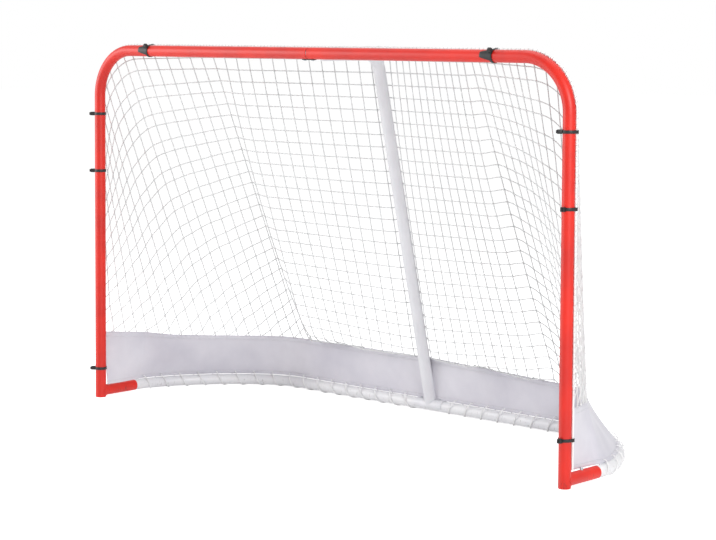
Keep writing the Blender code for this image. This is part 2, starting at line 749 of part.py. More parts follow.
def make_net():
    hem, ridge = hem_plan(), ridge_plan()
    upper = 1 - skirt_share()
    tall = (ridge_height() - HEM_HEIGHT) * upper
    length = sum((b - a).length for a, b in zip(hem, hem[1:]))
    seam = CORD_GAP / 2
    for side, word in ((-1, "left"), (1, "right")):

        def side_place(u, v):
            return net_point(side, NET_CORNER * u, 1 - upper * v, hem, ridge)

        def back_place(u, v):
            return net_point(side, NET_CORNER + (1 - NET_CORNER) * u, 1 - upper * v, hem, ridge)

        def top_place(u, v):
            return roof_point(side, u, v, ridge)

        edges = (CORD_GAP, CORD_GAP)
        size = (length * NET_CORNER, tall)
        mesh = panel_mesh(side_place, (SIDE_COLUMN_COUNT, NET_ROW_COUNT), size, ((0, seam), edges), 2)
        add_object("net_" + word + "_side", *mesh, "net_twine")
        size = (length * (1 - NET_CORNER), tall)
        gaps = (HALF_NET_COLUMN_COUNT - SIDE_COLUMN_COUNT, NET_ROW_COUNT)
        mesh = panel_mesh(back_place, gaps, size, ((seam, seam), edges), 1)
        add_object("net_" + word + "_back", *mesh, "net_twine")
        size = (POST_X, ridge_depth())
        gaps = (HALF_NET_COLUMN_COUNT - 1, TOP_ROW_COUNT)
        mesh = panel_mesh(top_place, gaps, size, ((FOLD_INSET, seam), (0, 0)), 2)
        add_object("net_" + word + "_top", *mesh, "net_twine")


# Skirt: one band of vinyl from post to post, outside the base and behind the strut
def make_skirt():
    hem, ridge = hem_plan(), ridge_plan()
    steps = 2 * CORNER_STEPS
    shares = [(-1, k / steps) for k in range(steps + 1)] + [(1, 1 - k / steps) for k in range(1, steps + 1)]
    rises = (0.0, skirt_share() / 2, skirt_share())
    grid = [[net_point(side, share, rise, hem, ridge) for rise in rises] for side, share in shares]
    down = len(rises)
    verts = []
    for push in (-SKIRT_THICKNESS / 2, SKIRT_THICKNESS / 2):
        for i in range(len(grid)):
            verts += [grid[i][j] + push * grid_normal(grid, i, j) for j in range(down)]
    back = len(grid) * down
    faces = []
    for i in range(len(grid) - 1):
        for j in range(down - 1):
            a, b = i * down + j, (i + 1) * down + j
            faces += [(a, b, b + 1, a + 1), (back + a + 1, back + b + 1, back + b, back + a)]
    edge = [i * down for i in range(len(grid))] + [(len(grid) - 1) * down + j for j in range(1, down)]
    edge += [i * down + down - 1 for i in range(len(grid) - 2, -1, -1)] + [j for j in range(down - 2, 0, -1)]
    for k, p in enumerate(edge):
        q = edge[(k + 1) % len(edge)]
        faces.append((p, p + back, q + back, q))
    return add_object("net_skirt", verts, faces, "skirt_vinyl")


# Lacing: a cord wound round the base tube, flat where it carries the goal on the floor
def make_lacing(name, side):
    plan = base_plan()[1:] + [Vector((FOOT_SADDLE_LENGTH / 2 + LACING_DIAMETER * 2, BASE_DEPTH))]
    total = LACING_TURN_COUNT * LACING_STEP_COUNT
    points = []
    for k in range(total + 1):
        here = along_plan(plan, k / total)
        near = along_plan(plan, min(k / total + 0.01, 1.0)) - along_plan(plan, max(k / total - 0.01, 0.0))
        out = Vector((near.y, -near.x)).normalized()
        turn = 2 * math.pi * k / LACING_STEP_COUNT
        flat = here + out * LACING_RADIUS * math.cos(turn)
        points.append(from_posts(side * flat.x, flat.y, BASE_HEIGHT + LACING_RADIUS * math.sin(turn)))
    least = min(
        (points[i] - points[j]).length
        for i in range(len(points))
        for j in range(i + LACING_STEP_COUNT // 2, len(points))
    )
    print(name, "least gap to itself in mm:", round((least - LACING_DIAMETER) * 1000, 2))
    verts, faces = cord_mesh(points, LACING_DIAMETER / 2, (0, 0, 1), 6)
    verts = [Vector((v.x, v.y, max(v.z, 0.0))) for v in verts]
    return add_object(name, verts, faces, "white_cord")


def build():
    clear_scene()
    for side, word in ((-1, "left"), (1, "right")):
        make_frame_tube(word + "_frame_tube", side)
        make_foot_socket(word + "_foot_socket", side)
        make_post_plug(word + "_post_plug", side)
        make_base_tube(word + "_base_tube", side)
        make_button(word + "_lock_button", side)
        make_button_spring(word + "_button_spring", side)
        make_screw("strut_top_screw_" + word, top_screw_place(side), (0, 0, 1))
        make_screw("strut_foot_screw_" + word, foot_screw_place(side), (0, 0, -1))
        make_lacing(word + "_lacing", side)
    for name, y, z in (("crossbar_sleeve", 0, BAR_HEIGHT), ("base_sleeve", BASE_DEPTH, BASE_HEIGHT)):
        sleeve = make_sleeve(name, y, z)
        place = top_screw_place if name == "crossbar_sleeve" else foot_screw_place
        for side, word in ((-1, "left"), (1, "right")):
            boolean(sleeve, screw_cutter(name + "_tool_" + word, place(side), (0, 0, 1)))
    make_strut()
    make_saddles()
    make_edge_rope()
    make_ties()
    make_net()
    make_skirt()


build()
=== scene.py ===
# Street hockey goal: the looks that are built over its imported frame.
import math

import bmesh
import bpy
import numpy as np
from mathutils import Matrix, Vector


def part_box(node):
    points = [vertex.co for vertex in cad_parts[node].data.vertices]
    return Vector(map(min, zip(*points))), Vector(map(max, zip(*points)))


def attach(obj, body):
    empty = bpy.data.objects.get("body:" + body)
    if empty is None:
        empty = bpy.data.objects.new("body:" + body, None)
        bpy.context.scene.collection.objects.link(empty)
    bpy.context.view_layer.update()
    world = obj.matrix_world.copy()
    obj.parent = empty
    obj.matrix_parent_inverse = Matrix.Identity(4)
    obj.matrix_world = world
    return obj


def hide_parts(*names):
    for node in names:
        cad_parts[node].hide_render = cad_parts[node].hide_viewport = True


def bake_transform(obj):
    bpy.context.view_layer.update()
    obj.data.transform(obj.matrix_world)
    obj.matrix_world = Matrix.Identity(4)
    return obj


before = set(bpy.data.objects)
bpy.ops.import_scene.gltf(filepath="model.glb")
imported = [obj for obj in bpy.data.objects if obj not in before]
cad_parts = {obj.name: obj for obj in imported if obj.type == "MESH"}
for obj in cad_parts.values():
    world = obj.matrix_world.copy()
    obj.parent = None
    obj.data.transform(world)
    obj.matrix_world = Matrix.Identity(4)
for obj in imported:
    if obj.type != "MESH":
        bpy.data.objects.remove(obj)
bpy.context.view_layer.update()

# All places below are metres from the line of the posts: X along the crossbar, Y back
# into the net, Z up from the floor. postLine moves them into the frame of the part.
postLine = -0.287685
postX = 0.955
barHeight = 1.1525
cornerRadius = 0.150
tubeRadius = 0.0175
boreRadius = 0.0161
jointGap = 0.0006
baseHeight = 0.02105
baseDepth = 0.575
socketLength = 0.146
bendStart = barHeight - cornerRadius
bothSides = ((-1, "left"), (1, "right"))


# Objects, meshes
def addObject(name, data):
    thing = bpy.data.objects.new(name, data)
    bpy.context.scene.collection.objects.link(thing)
    return thing


def newMesh(name, points, faces):
    mesh = bpy.data.meshes.new(name)
    mesh.from_pydata(points.tolist(), [], faces)
    return mesh


# Camera: the photo's place and angle, fitted to the posts, crossbar and base
camera = {
    "place": (4.03054, -4.19353, 1.20766),
    "yaw": 0.74024,
    "pitch": 0.06882,
    "roll": 0.00605,
    "lens": 98.42,
    "shiftUp": -0.1397,
    "sensor": 36,
    "farthest": 100,
}
view = addObject("camera", bpy.data.cameras.new("camera"))
view.matrix_world = (
    Matrix.Translation(Vector(camera["place"]) + Vector((0, postLine, 0)))
    @ Matrix.Rotation(camera["yaw"], 4, "Z")
    @ Matrix.Rotation(math.pi / 2 - camera["pitch"], 4, "X")
    @ Matrix.Rotation(camera["roll"], 4, "Z")
)
view.data.lens, view.data.sensor_width = camera["lens"], camera["sensor"]
view.data.shift_y, view.data.clip_end = camera["shiftUp"], camera["farthest"]
bpy.context.scene.camera = view
print("camera is in place")


# Materials
def toLinear(hexColour):
    parts = [int(hexColour[i : i + 2], 16) / 255 for i in (1, 3, 5)]
    curve = [c / 12.92 if c <= 0.04045 else ((c + 0.055) / 1.055) ** 2.4 for c in parts]
    return (*curve, 1.0)


# Adds one node: its inputs are values or other nodes' outputs, its settings are properties
def addNode(tree, kind, inputs=(), **settings):
    node = tree.nodes.new("ShaderNode" + kind)
    for name, value in settings.items():
        setattr(node, name, value)
    for name, value in dict(inputs).items():
        if isinstance(value, bpy.types.NodeSocket):
            tree.links.new(value, node.inputs[name])
        else:
            node.inputs[name].default_value = value
    return node


def calculate(tree, operation, *values):
    return addNode(tree, "Math", enumerate(values), operation=operation).outputs["Value"]


def addNoise(tree, place, scale, detail=2.0, roughness=0.5):
    inputs = {"Vector": place, "Scale": scale, "Detail": detail, "Roughness": roughness}
    return addNode(tree, "TexNoise", inputs).outputs["Fac"]


# Moves a value from the range start to end into the range low to high
def remap(tree, value, start, end, low=0.0, high=1.0):
    inputs = {"Value": value, "From Min": start, "From Max": end, "To Min": low, "To Max": high}
    return addNode(tree, "MapRange", inputs).outputs["Result"]


def addBump(tree, height, strength, distance, **more):
    inputs = {"Height": height, "Strength": strength, "Distance": distance, **more}
    return addNode(tree, "Bump", inputs).outputs["Normal"]


# Colours between two hex values as a factor goes from start to end
def blendColours(tree, factor, first, second, start=0.0, end=1.0):
    ramp = addNode(tree, "ValToRGB", {"Fac": factor})
    for stop, colour, position in zip(ramp.color_ramp.elements, (first, second), (start, end)):
        stop.color, stop.position = toLinear(colour), position
    return ramp.outputs["Color"]


# A new material with fixed values on its shader
def newFinish(name, **values):
    finish = bpy.data.materials.new(name)
    finish.use_nodes = True
    tree = finish.node_tree
    shader = tree.nodes["Principled BSDF"]
    for key, value in values.items():
        shader.inputs[key.replace("_", " ")].default_value = value
    return finish, tree, shader, addNode(tree, "TexCoord")


def feed(tree, shader, **outputs):
    for key, output in outputs.items():
        tree.links.new(output, shader.inputs[key.replace("_", " ")])


# Sprayed and baked polyester powder on steel tube: an even satin gloss with a fine orange
# peel, a little lighter and darker from place to place, and rubbed marks near the floor.
def powderCoat(name, body, darker, scuff, gloss):
    coat = {"Roughness": gloss, "IOR": 1.5, "Coat_Weight": 0.06, "Coat_Roughness": 0.3}
    finish, tree, shader, spot = newFinish(name, **coat)
    place = spot.outputs["Object"]
    drift = addNoise(tree, place, 9.0, 3.0)
    paint = blendColours(tree, drift, darker, body, 0.3, 0.62)
    # rubbing: long scratches that fade out 80 mm above the floor
    stretch = addNode(tree, "Mapping", {"Vector": place, "Scale": (190.0, 190.0, 34.0)})
    scratch = addNoise(tree, stretch.outputs["Vector"], 1.0, 5.0, 0.7)
    height = addNode(tree, "SeparateXYZ", {"Vector": place}).outputs["Z"]
    low = remap(tree, height, 0.0, 0.08, 0.12, 0.0)
    worn = remap(tree, calculate(tree, "ADD", scratch, low), 0.70, 0.76)
    colour = addNode(tree, "Mix", {"Factor": worn, "A": paint, "B": toLinear(scuff)}, data_type="RGBA")
    # orange peel is about 1.5 mm across on the real coat
    peel = addBump(tree, addNoise(tree, place, 620.0, 1.5), 0.10, 0.0006)
    rough = remap(tree, drift, 0.0, 1.0, gloss - 0.05, gloss + 0.08)
    feed(tree, shader, Base_Color=colour.outputs["Result"], Normal=peel, Roughness=rough)
    return finish


# Zinc-plated steel: a soft blue-grey metal with faint cloudy patches
def zincPlate():
    finish, tree, shader, spot = newFinish("zincPlatedSteel", Metallic=1.0, Roughness=0.34)
    cloud = addNoise(tree, spot.outputs["Object"], 260.0, 4.0)
    colour = blendColours(tree, cloud, "#8f959b", "#c9cdd0")
    feed(tree, shader, Base_Color=colour, Roughness=remap(tree, cloud, 0.0, 1.0, 0.26, 0.46))
    return finish


# Moulded black nylon: near black with a soft sheen and a fine spark-eroded grain
def mouldedNylon():
    finish, tree, shader, spot = newFinish("mouldedNylon", Roughness=0.5, IOR=1.46)
    place = spot.outputs["Object"]
    colour = blendColours(tree, addNoise(tree, place, 45.0), "#09090a", "#18181a")
    # grain of about 0.6 mm, coarser than the real one so that it shows close up
    grain = addBump(tree, addNoise(tree, place, 1600.0), 0.25, 0.0003)
    feed(tree, shader, Base_Color=colour, Normal=grain)
    return finish


# Twisted or braided polyester cord: matt, with slanting strands and painted shade in the grooves between
# them.
# The pattern follows the cord: U goes once round it and V is the length in metres.
def laidCord(name, light, grooveShade, strands, lay, braid=False):
    yarn = {"Roughness": 0.78, "IOR": 1.5, "Sheen_Weight": 0.15, "Sheen_Roughness": 0.5}
    finish, tree, shader, spot = newFinish(name, **yarn)
    along = addNode(tree, "SeparateXYZ", {"Vector": spot.outputs["UV"]})
    turns = calculate(tree, "MULTIPLY", along.outputs["Y"], 1 / lay)
    waves = []
    for way in (1, -1) if braid else (1,):
        lean = calculate(tree, "MULTIPLY_ADD", along.outputs["X"], way, turns)
        waves.append(calculate(tree, "SINE", calculate(tree, "MULTIPLY", lean, strands * 2 * math.pi)))
    relief = calculate(tree, "MAXIMUM", *waves) if braid else waves[0]
    rise = remap(tree, relief, -1.0, 0.6)
    fuzz = addNoise(tree, spot.outputs["Object"], 900.0)
    level = calculate(tree, "MULTIPLY_ADD", fuzz, 0.25, rise)
    # painted shade: the colour turns to the darker shade colour where the strands' relief is low
    colour = blendColours(tree, rise, grooveShade, light)
    feed(tree, shader, Base_Color=colour, Normal=addBump(tree, level, 0.7, 0.0005))
    return finish


# PVC-coated polyester: a pale grey sheet with a soft gloss, the scrim's grid showing
# through as a faint relief, and slow changes of tone where it has been handled.
def coatedVinyl():
    sheet = {"Roughness": 0.42, "IOR": 1.52, "Coat_Weight": 0.1, "Coat_Roughness": 0.3}
    finish, tree, shader, spot = newFinish("coatedVinyl", **sheet)
    along = addNode(tree, "SeparateXYZ", {"Vector": spot.outputs["UV"]})
    tone = addNoise(tree, spot.outputs["Object"], 5.0, 4.0, 0.55)
    colour = blendColours(tree, tone, "#c4c2cc", "#d9d7de", 0.3, 0.7)
    # scrim threads every 2 mm, twice as coarse as real ones so that they show close up
    threads = []
    for side in ("X", "Y"):
        phase = calculate(tree, "MULTIPLY", along.outputs[side], 2 * math.pi / 0.002)
        threads.append(calculate(tree, "SINE", phase))
    crease = addNode(tree, "Mapping", {"Vector": spot.outputs["UV"], "Scale": (11.0, 3.0, 1.0)})
    folds = addNoise(tree, crease.outputs["Vector"], 1.6, 3.0)
    fine = addBump(tree, calculate(tree, "MAXIMUM", *threads), 0.12, 0.0003)
    feed(tree, shader, Base_Color=colour, Normal=addBump(tree, folds, 0.35, 0.006, Normal=fine))
    return finish


redCoat = powderCoat("redPowderCoat", "#db1e05", "#c61604", "#7a1d10", 0.47)
whiteCoat = powderCoat("whitePowderCoat", "#e4e4e6", "#dcdce0", "#a9a7a4", 0.36)
# the strut and its foot saddle: the base's white powder coat made a little greyer, as painted shade
shadedWhiteCoat = powderCoat("whitePowderCoatPaintedShade", "#e0e0e4", "#d8d8dd", "#a3a2a5", 0.36)
zinc = zincPlate()
nylon = mouldedNylon()
# each cord's second colour is the painted shade in its grooves
netTwine = laidCord("twistedNetTwine", "#e9eaea", "#c8cacc", 3, 0.009)
ropeCord = laidCord("braidedEdgeRope", "#f6f6f6", "#d8d8d8", 6, 0.016, braid=True)
laceCord = laidCord("braidedLacing", "#f2f2f2", "#d6d6d8", 5, 0.012, braid=True)
seamThread = laidCord("sewingThread", "#e9e9ec", "#bcbcc4", 2, 0.003)
vinyl = coatedVinyl()
print("materials are ready")


# Shapes
# A piece from a shape's points and faces, and a U and V for each point
def makePiece(name, shape, finish, replaces=(), body="goal", sharp=35.0):
    points, faces, places = shape
    mesh = newMesh(name, points + (0.0, postLine, 0.0), faces)
    chart = np.array(places, np.float32)[np.concatenate(faces)]
    # a face that closes the ring runs past U 1 instead of back to 0
    owner = np.repeat(np.arange(len(faces)), [len(face) for face in faces])
    top = np.zeros(len(faces))
    np.maximum.at(top, owner, chart[:, 0])
    chart[:, 0] += (top[owner] - chart[:, 0] > 0.5) * (top[owner] <= 1.0)
    mesh.uv_layers.new(name="along").data.foreach_set("uv", chart.ravel())
    mesh.materials.append(finish)
    mesh.shade_smooth()
    mesh.set_sharp_from_angle(angle=math.radians(sharp))
    piece = addObject(name, mesh)
    if body:
        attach(piece, body)
    if replaces:
        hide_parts(*replaces)
    return piece


def unit(vectors):
    return vectors / np.maximum(np.linalg.norm(vectors, axis=-1, keepdims=True), 1e-12)


# Lengths from a path's start to each of its points
def lengthsAlong(path):
    return np.r_[0, np.cumsum(np.linalg.norm(np.diff(path, axis=0), axis=1))]


# Directions across a path, each turned as little as the path allows
def crossFrames(path, firstSide, closed=False):
    if closed:
        along = unit(np.roll(path, -1, 0) - np.roll(path, 1, 0))
    else:
        along = unit(np.gradient(path, axis=0))
    side = np.array(firstSide, float)
    sides = []
    for way in along:
        side = side - way * side.dot(way)
        side /= np.linalg.norm(side)
        sides.append(side)
    sides = np.array(sides)
    return sides, np.cross(along, sides)


# Rings round a path: radius is one number or one for each point
def ringsRound(path, radius, sides, firstSide, closed=False):
    path = np.array(path, float)
    across, over = crossFrames(path, firstSide, closed)
    radius = np.broadcast_to(radius, len(path))[:, None, None]
    turn = 2 * np.pi * np.arange(sides) / sides
    spokes = across[:, None] * np.cos(turn)[None, :, None] + over[:, None] * np.sin(turn)[None, :, None]
    return path[:, None] + radius * spokes


# A skin over rings of points, capped at both ends or joined end to end
def skin(rings, closed=False):
    rings = np.array(rings, float)
    count, sides = rings.shape[:2]
    last = count if closed else count - 1
    i, k = np.meshgrid(np.arange(last), np.arange(sides), indexing="ij")
    here, after = i * sides, (i + 1) % count * sides
    faces = np.stack([here + k, here + (k + 1) % sides, after + (k + 1) % sides, after + k], -1)
    faces = faces.reshape(-1, 4).tolist()
    if not closed:
        faces.append(list(range(sides))[::-1])
        faces.append(list(range((count - 1) * sides, count * sides)))
    turns = np.broadcast_to(np.arange(sides) / sides, (count, sides))
    lengths = np.broadcast_to(lengthsAlong(rings.mean(1))[:, None], (count, sides))
    return rings.reshape(-1, 3), faces, np.stack([turns, lengths], -1).reshape(-1, 2)


def joinShapes(shapes):
    points, faces, places, start = [], [], [], 0
    for shapePoints, shapeFaces, shapePlaces in shapes:
        points.append(shapePoints)
        places.append(shapePlaces)
        faces += [[v + start for v in face] for face in shapeFaces]
        start += len(shapePoints)
    return np.concatenate(points), faces, np.concatenate(places)


# A tube with a bore: the outside, the lip, the inside and the other lip in one skin
def hollowTube(path, outer, inner, sides, firstSide, lip=0.0004):
    outside = ringsRound(path, outer, sides, firstSide)
    ends = ringsRound(path, outer - lip, sides, firstSide)
    inside = ringsRound(path, inner, sides, firstSide)
    steps = unit(path[[0, -1]] - path[[1, -2]]) * lip
    outside[0] -= steps[0]
    outside[-1] -= steps[1]
    rings = np.concatenate([ends[:1], outside, ends[-1:], inside[::-1]])
    return skin(rings, closed=True)


# An arc from one angle to another, in degrees from the first axis up to Z
def arcPoints(centre, radius, start, end, steps, firstAxis=(0, 1, 0)):
    angle = np.radians(np.linspace(start, end, steps + 1))[:, None]
    return np.array(centre) + radius * (np.cos(angle) * firstAxis + np.sin(angle) * (0, 0, 1))


# Points along a path at shares of its length
def alongPath(path, share):
    path = np.array(path, float)
    length = lengthsAlong(path)
    want = np.asarray(share) * length[-1]
    return np.stack([np.interp(want, length, path[:, k]) for k in range(path.shape[1])], -1)


# Level directions to the outer side of a path in plan, at shares of its length
def outwardFrom(path, share, step):
    way = unit(alongPath(path, np.minimum(share + step, 1)) - alongPath(path, np.maximum(share - step, 0)))
    return np.stack([way[:, 1], -way[:, 0]], -1)


def bezier(a, b, c, d, steps):
    t = np.linspace(0, 1, steps + 1)[:, None]
    a, b, c, d = (np.array(p, float) for p in (a, b, c, d))
    return (1 - t) ** 3 * a + 3 * (1 - t) ** 2 * t * b + 3 * (1 - t) * t * t * c + t**3 * d


# Makes what the modifiers show the piece's own mesh
def applyModifiers(piece):
    shown = piece.evaluated_get(bpy.context.evaluated_depsgraph_get())
    piece.data = bpy.data.meshes.new_from_object(shown)
    piece.modifiers.clear()


# Rounds the edges between a piece's flat faces
def bevelEdges(piece, width, segments, sharp):
    edge = piece.modifiers.new("edges", "BEVEL")
    edge.width, edge.segments = width, segments
    edge.limit_method, edge.angle_limit = "ANGLE", math.radians(50)
    applyModifiers(piece)
    piece.data.set_sharp_from_angle(angle=math.radians(sharp))


# Takes a tool's shape out of a piece, and then the tool away
def cutOut(piece, mesh):
    tool = addObject("tool", mesh)
    cut = piece.modifiers.new("cut", "BOOLEAN")
    cut.operation, cut.solver, cut.object = "DIFFERENCE", "EXACT", tool
    applyModifiers(piece)
    bpy.data.objects.remove(tool)
    piece.data.set_sharp_from_angle(angle=math.radians(35))


# Cuts the lock button's hole straight down into a tube
def drill(piece, side, height, depth):
    ends = [(side * postX, button["place"], baseHeight + height + end) for end in (-depth, depth)]
    points, faces, _ = skin(ringsRound(ends, button["holeRadius"], 32, (1, 0, 0)))
    cutOut(piece, newMesh("drill", points + (0, postLine, 0), faces))


# Rings of a turned piece on an upright axis, from its radii and heights
def turnedRings(profile, sides=32):
    turn = 2 * np.pi * np.arange(sides) / sides
    circle = np.stack([np.cos(turn), np.sin(turn), np.zeros(sides)], -1)
    return np.array([circle * radius + (0, 0, height) for radius, height in profile])


# Front frame: each half is a post, a bent corner and half of the crossbar
tubeLook = {"sides": 56, "bendSteps": 28, "lip": 0.0011, "joint": 0.0022}


def frameLine(side, offset=0.0, back=0.0, foot=0.0, end=0.0):
    bend = cornerRadius + offset
    corner = (side * (postX - cornerRadius), back, bendStart)
    post = [(side * (postX + offset), back, z) for z in np.linspace(foot, bendStart, 8)[:-1]]
    curve = arcPoints(corner, bend, 0, 90, tubeLook["bendSteps"], (side, 0, 0))
    across = np.linspace(postX - cornerRadius, end, 12)[1:]
    bar = [(side * x, back, barHeight + offset) for x in across]
    return np.array([*post, *curve, *bar])


for side, word in bothSides:
    path = frameLine(side, end=tubeLook["joint"] / 2)
    tube = hollowTube(path, tubeRadius, boreRadius, tubeLook["sides"], (0, 1, 0), tubeLook["lip"])
    makePiece(word + "FrameTube", tube, redCoat, [word + "_frame_tube"])

# Foot sockets: coped to the back of each post, with the ring of weld where they meet
# weld: radius of the bead, its ripples' share of that and their number round the post
socketLook = {"sides": 56, "lip": 0.0004, "rim": 0.978, "clear": 0.0003}
weld = {"radius": 0.0021, "ripple": 0.16, "ripples": 38, "steps": 240, "sides": 10}
# cuts: how far a hole's middle is above the tube's middle line, and half its depth
button = {
    "place": 0.076,
    "pin": 0.00475,
    "top": 0.025,
    "tip": 0.0004,
    "holeRadius": 0.00505,
    "socketCut": (0.020, 0.012),
    "baseCut": (0.016, 0.010),
}
flange = {"radius": 0.0065, "edge": 0.0002, "low": 0.0109, "high": 0.0124}


def copedStart(radius, post):
    turn = 2 * np.pi * np.arange(socketLook["sides"]) / socketLook["sides"]
    x, z = radius * np.cos(turn), radius * np.sin(turn)
    return np.stack([x, np.sqrt(np.maximum(post**2 - x**2, 0)), z + baseHeight], -1)


for side, word in bothSides:
    shift = np.array([side * postX, 0, 0])
    axis = np.array([0, 0, baseHeight])
    rings = []
    for radius in (tubeRadius, boreRadius):
        start = copedStart(radius, tubeRadius + socketLook["clear"])
        far = start * (1, 0, 1) + (0, socketLength, 0)
        rings.append([start, start * 0.5 + far * 0.5, far])
    lip = rings[0][2] + (0, -socketLook["lip"], 0)
    rim = (rings[0][2] - axis) * (socketLook["rim"], 1, socketLook["rim"]) + axis
    shape = skin(np.array([*rings[0][:2], lip, rim, *rings[1][::-1]]) + shift, closed=True)
    socket = makePiece(word + "FootSocket", shape, redCoat, [word + "_foot_socket"])
    drill(socket, side, *button["socketCut"])
    seam = copedStart(tubeRadius, tubeRadius) + shift
    seam = alongPath(np.vstack([seam, seam[:1]]), np.linspace(0, 1, weld["steps"] + 1)[:-1])
    wave = np.sin(np.linspace(0, 2 * np.pi * weld["ripples"], weld["steps"]))
    thick = weld["radius"] * (1 + weld["ripple"] * wave)
    bead = ringsRound(seam, thick, weld["sides"], (0, 0, 1), closed=True)
    makePiece(word + "SocketWeld", skin(bead, closed=True), redCoat)
print("front frame is made")


# Base tube: out of each socket, round the corner and along the back
# pull: where the curve out of the socket and the one into the back are drawn to
base = {"pullSide": (0.975, 0.241), "pullBack": 0.785, "straightFrom": 0.580, "steps": 64, "sides": 48}
sideStart = (postX, socketLength)
backStart = (base["straightFrom"], baseDepth)
basePlan = bezier(sideStart, base["pullSide"], (base["pullBack"], baseDepth), backStart, base["steps"])
swage = {"start": 0.046, "radius": 0.01560, "bore": 0.0144, "step": 0.004, "taper": 0.010}

for side, word in bothSides:
    plan = [(postX, y) for y in (swage["start"], socketLength + jointGap, socketLength + swage["step"])]
    plan += [tuple(p) for p in basePlan[basePlan[:, 1] > socketLength + swage["taper"]]]
    plan += [(x, baseDepth) for x in np.linspace(base["straightFrom"], jointGap / 2, 10)[1:]]
    path = np.array([(side * x, y, baseHeight) for x, y in plan])
    outer = np.full(len(path), tubeRadius)
    inner = np.full(len(path), boreRadius)
    outer[:2], inner[:2] = swage["radius"], swage["bore"]
    shape = hollowTube(path, outer, inner, base["sides"], (0, 0, 1))
    tube = makePiece(word + "BaseTube", shape, whiteCoat, [word + "_base_tube"])
    drill(tube, side, *button["baseCut"])

# Lock buttons: a domed pin with a flange inside the tube
for side, word in bothSides:
    pin, top = button["pin"], button["top"]
    wide, low, high, edge = flange["radius"], flange["low"], flange["high"], flange["edge"]
    arc = np.linspace(0, math.pi / 2, 9)[:-1]
    dome = [(pin * math.cos(a), top - pin * 0.5 + pin * 0.5 * math.sin(a)) for a in arc]
    profile = [(wide - edge, low), (wide, low + edge), (wide, high - edge), (wide - edge, high), (pin, high)]
    rings = turnedRings([*profile, *dome, (button["tip"], top)])
    rings += (side * postX, button["place"], baseHeight)
    makePiece(word + "LockButton", skin(rings), zinc, [word + "_lock_button"], body=word + "_button")

# Leaf springs: hairpin strips on the tube's floor, with their upper legs under the buttons; on the real goal
# those legs go down with the buttons, here they are made at rest and do not move
spring = {"width": 0.008, "thickness": 0.0008, "reach": 0.044, "fold": 0.004, "openTo": 42}


def springLine(floorZ, roofZ):
    tip, bendY = button["place"] - flange["radius"], button["place"] + flange["radius"]
    heel = tip + spring["reach"] - spring["fold"]
    lower = [(0, y, floorZ) for y in np.linspace(tip, heel, 8)[:-1]]
    middle = (0, heel, floorZ + spring["fold"])
    fold = arcPoints(middle, spring["fold"], -90, spring["openTo"], 16)
    rise = [fold[-1] + (np.array((0, bendY, roofZ)) - fold[-1]) * t for t in np.linspace(0, 1, 14)[1:]]
    upper = [(0, y, roofZ) for y in np.linspace(bendY, tip, 6)[1:]]
    return np.vstack([lower, fold, rise, upper])


for side, word in bothSides:
    low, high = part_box(word + "_button_spring")
    half = spring["thickness"] / 2
    line = springLine(low[2] + half, high[2] - half) + (side * postX, 0, 0)
    off = np.cross((1, 0, 0), unit(np.gradient(line, axis=0))) * half
    wide = np.array((spring["width"] / 2, 0, 0))
    rings = np.stack([line - off - wide, line + off - wide, line + off + wide, line - off + wide], 1)
    leaf = makePiece(word + "ButtonSpring", skin(rings), zinc, [word + "_button_spring"], body=None)
    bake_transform(leaf)
print("base is made")


# Strut: bent over at the top, drawn in where it meets the crossbar's saddle
strut = {
    "radius": 0.019,
    "clear": 0.0006,
    "wall": 0.0014,
    "topDepth": 0.302,
    "topHeight": 1.1485,
    "bendRadius": 0.060,
    "endRadius": 0.0125,
    "endLength": 0.020,
    "endTaper": 0.030,
}
# top and foot: each saddle's length and the angles that it covers round its tube
saddle = {
    "inner": 0.0178,
    "outer": 0.0198,
    "edge": 0.0006,
    "top": (0.050, 25, -104),
    "foot": (0.110, -14, 194),
}
strutSlant = math.atan((baseDepth - strut["topDepth"]) / (strut["topHeight"] - baseHeight))


def strutLine(steps=24):
    turn = math.pi / 2 - strutSlant
    start = strut["topDepth"] - strut["bendRadius"] * math.tan(turn / 2)
    centre = (0, start, strut["topHeight"] - strut["bendRadius"])
    bend = arcPoints(centre, strut["bendRadius"], 90, 90 - math.degrees(turn), steps)
    foot = (0, baseDepth, baseHeight)
    return bend, np.array(foot)


# The same ring of points, slid along a direction until it lies on a tube that runs along X
def slideOnto(ring, way, centre, radius):
    y, z = ring[:, 1] - centre[0], ring[:, 2] - centre[1]
    b = y * way[1] + z * way[2]
    c = y * y + z * z - radius * radius
    push = -b - np.sqrt(np.maximum(b * b - c, 0))
    return ring + push[:, None] * np.array(way)


def makeStrut():
    bend, foot = strutLine()
    near = saddle["outer"] + strut["clear"]
    stub = [near, tubeRadius + strut["endLength"]]
    taper = np.linspace(0, 1, 9)[1:]
    along = [*stub, *(stub[1] + strut["endTaper"] * taper)]
    ease = taper * taper * (3 - 2 * taper)
    thin, thick = strut["endRadius"], strut["radius"]
    radii = [thin] * 2 + list(thin + (thick - thin) * ease)
    path = [(0, y, strut["topHeight"]) for y in along]
    path += list(bend)
    slope = foot - bend[-1]
    path += [bend[-1] + slope * t for t in (0.25, 0.5, 0.75, 0.97)]
    radii += [thick] * (len(path) - len(radii))
    path, radii = np.array(path), np.array(radii)
    outside = ringsRound(path, radii, 48, (1, 0, 0))
    inside = ringsRound(path, radii - strut["wall"], 48, (1, 0, 0))
    down = slope / np.linalg.norm(slope)
    for rings in (outside, inside):
        rings[0] = slideOnto(rings[0] + (0, 0.03, 0), (0, -1, 0), (0, barHeight), near)
        rings[-1] = slideOnto(rings[-1], down, (baseDepth, baseHeight), near)
    return skin(np.concatenate([outside, inside[::-1]]), closed=True)


# the strut's pale grey is painted shade on white powder coat
makePiece("centreStrut", makeStrut(), shadedWhiteCoat, ["centre_strut"])


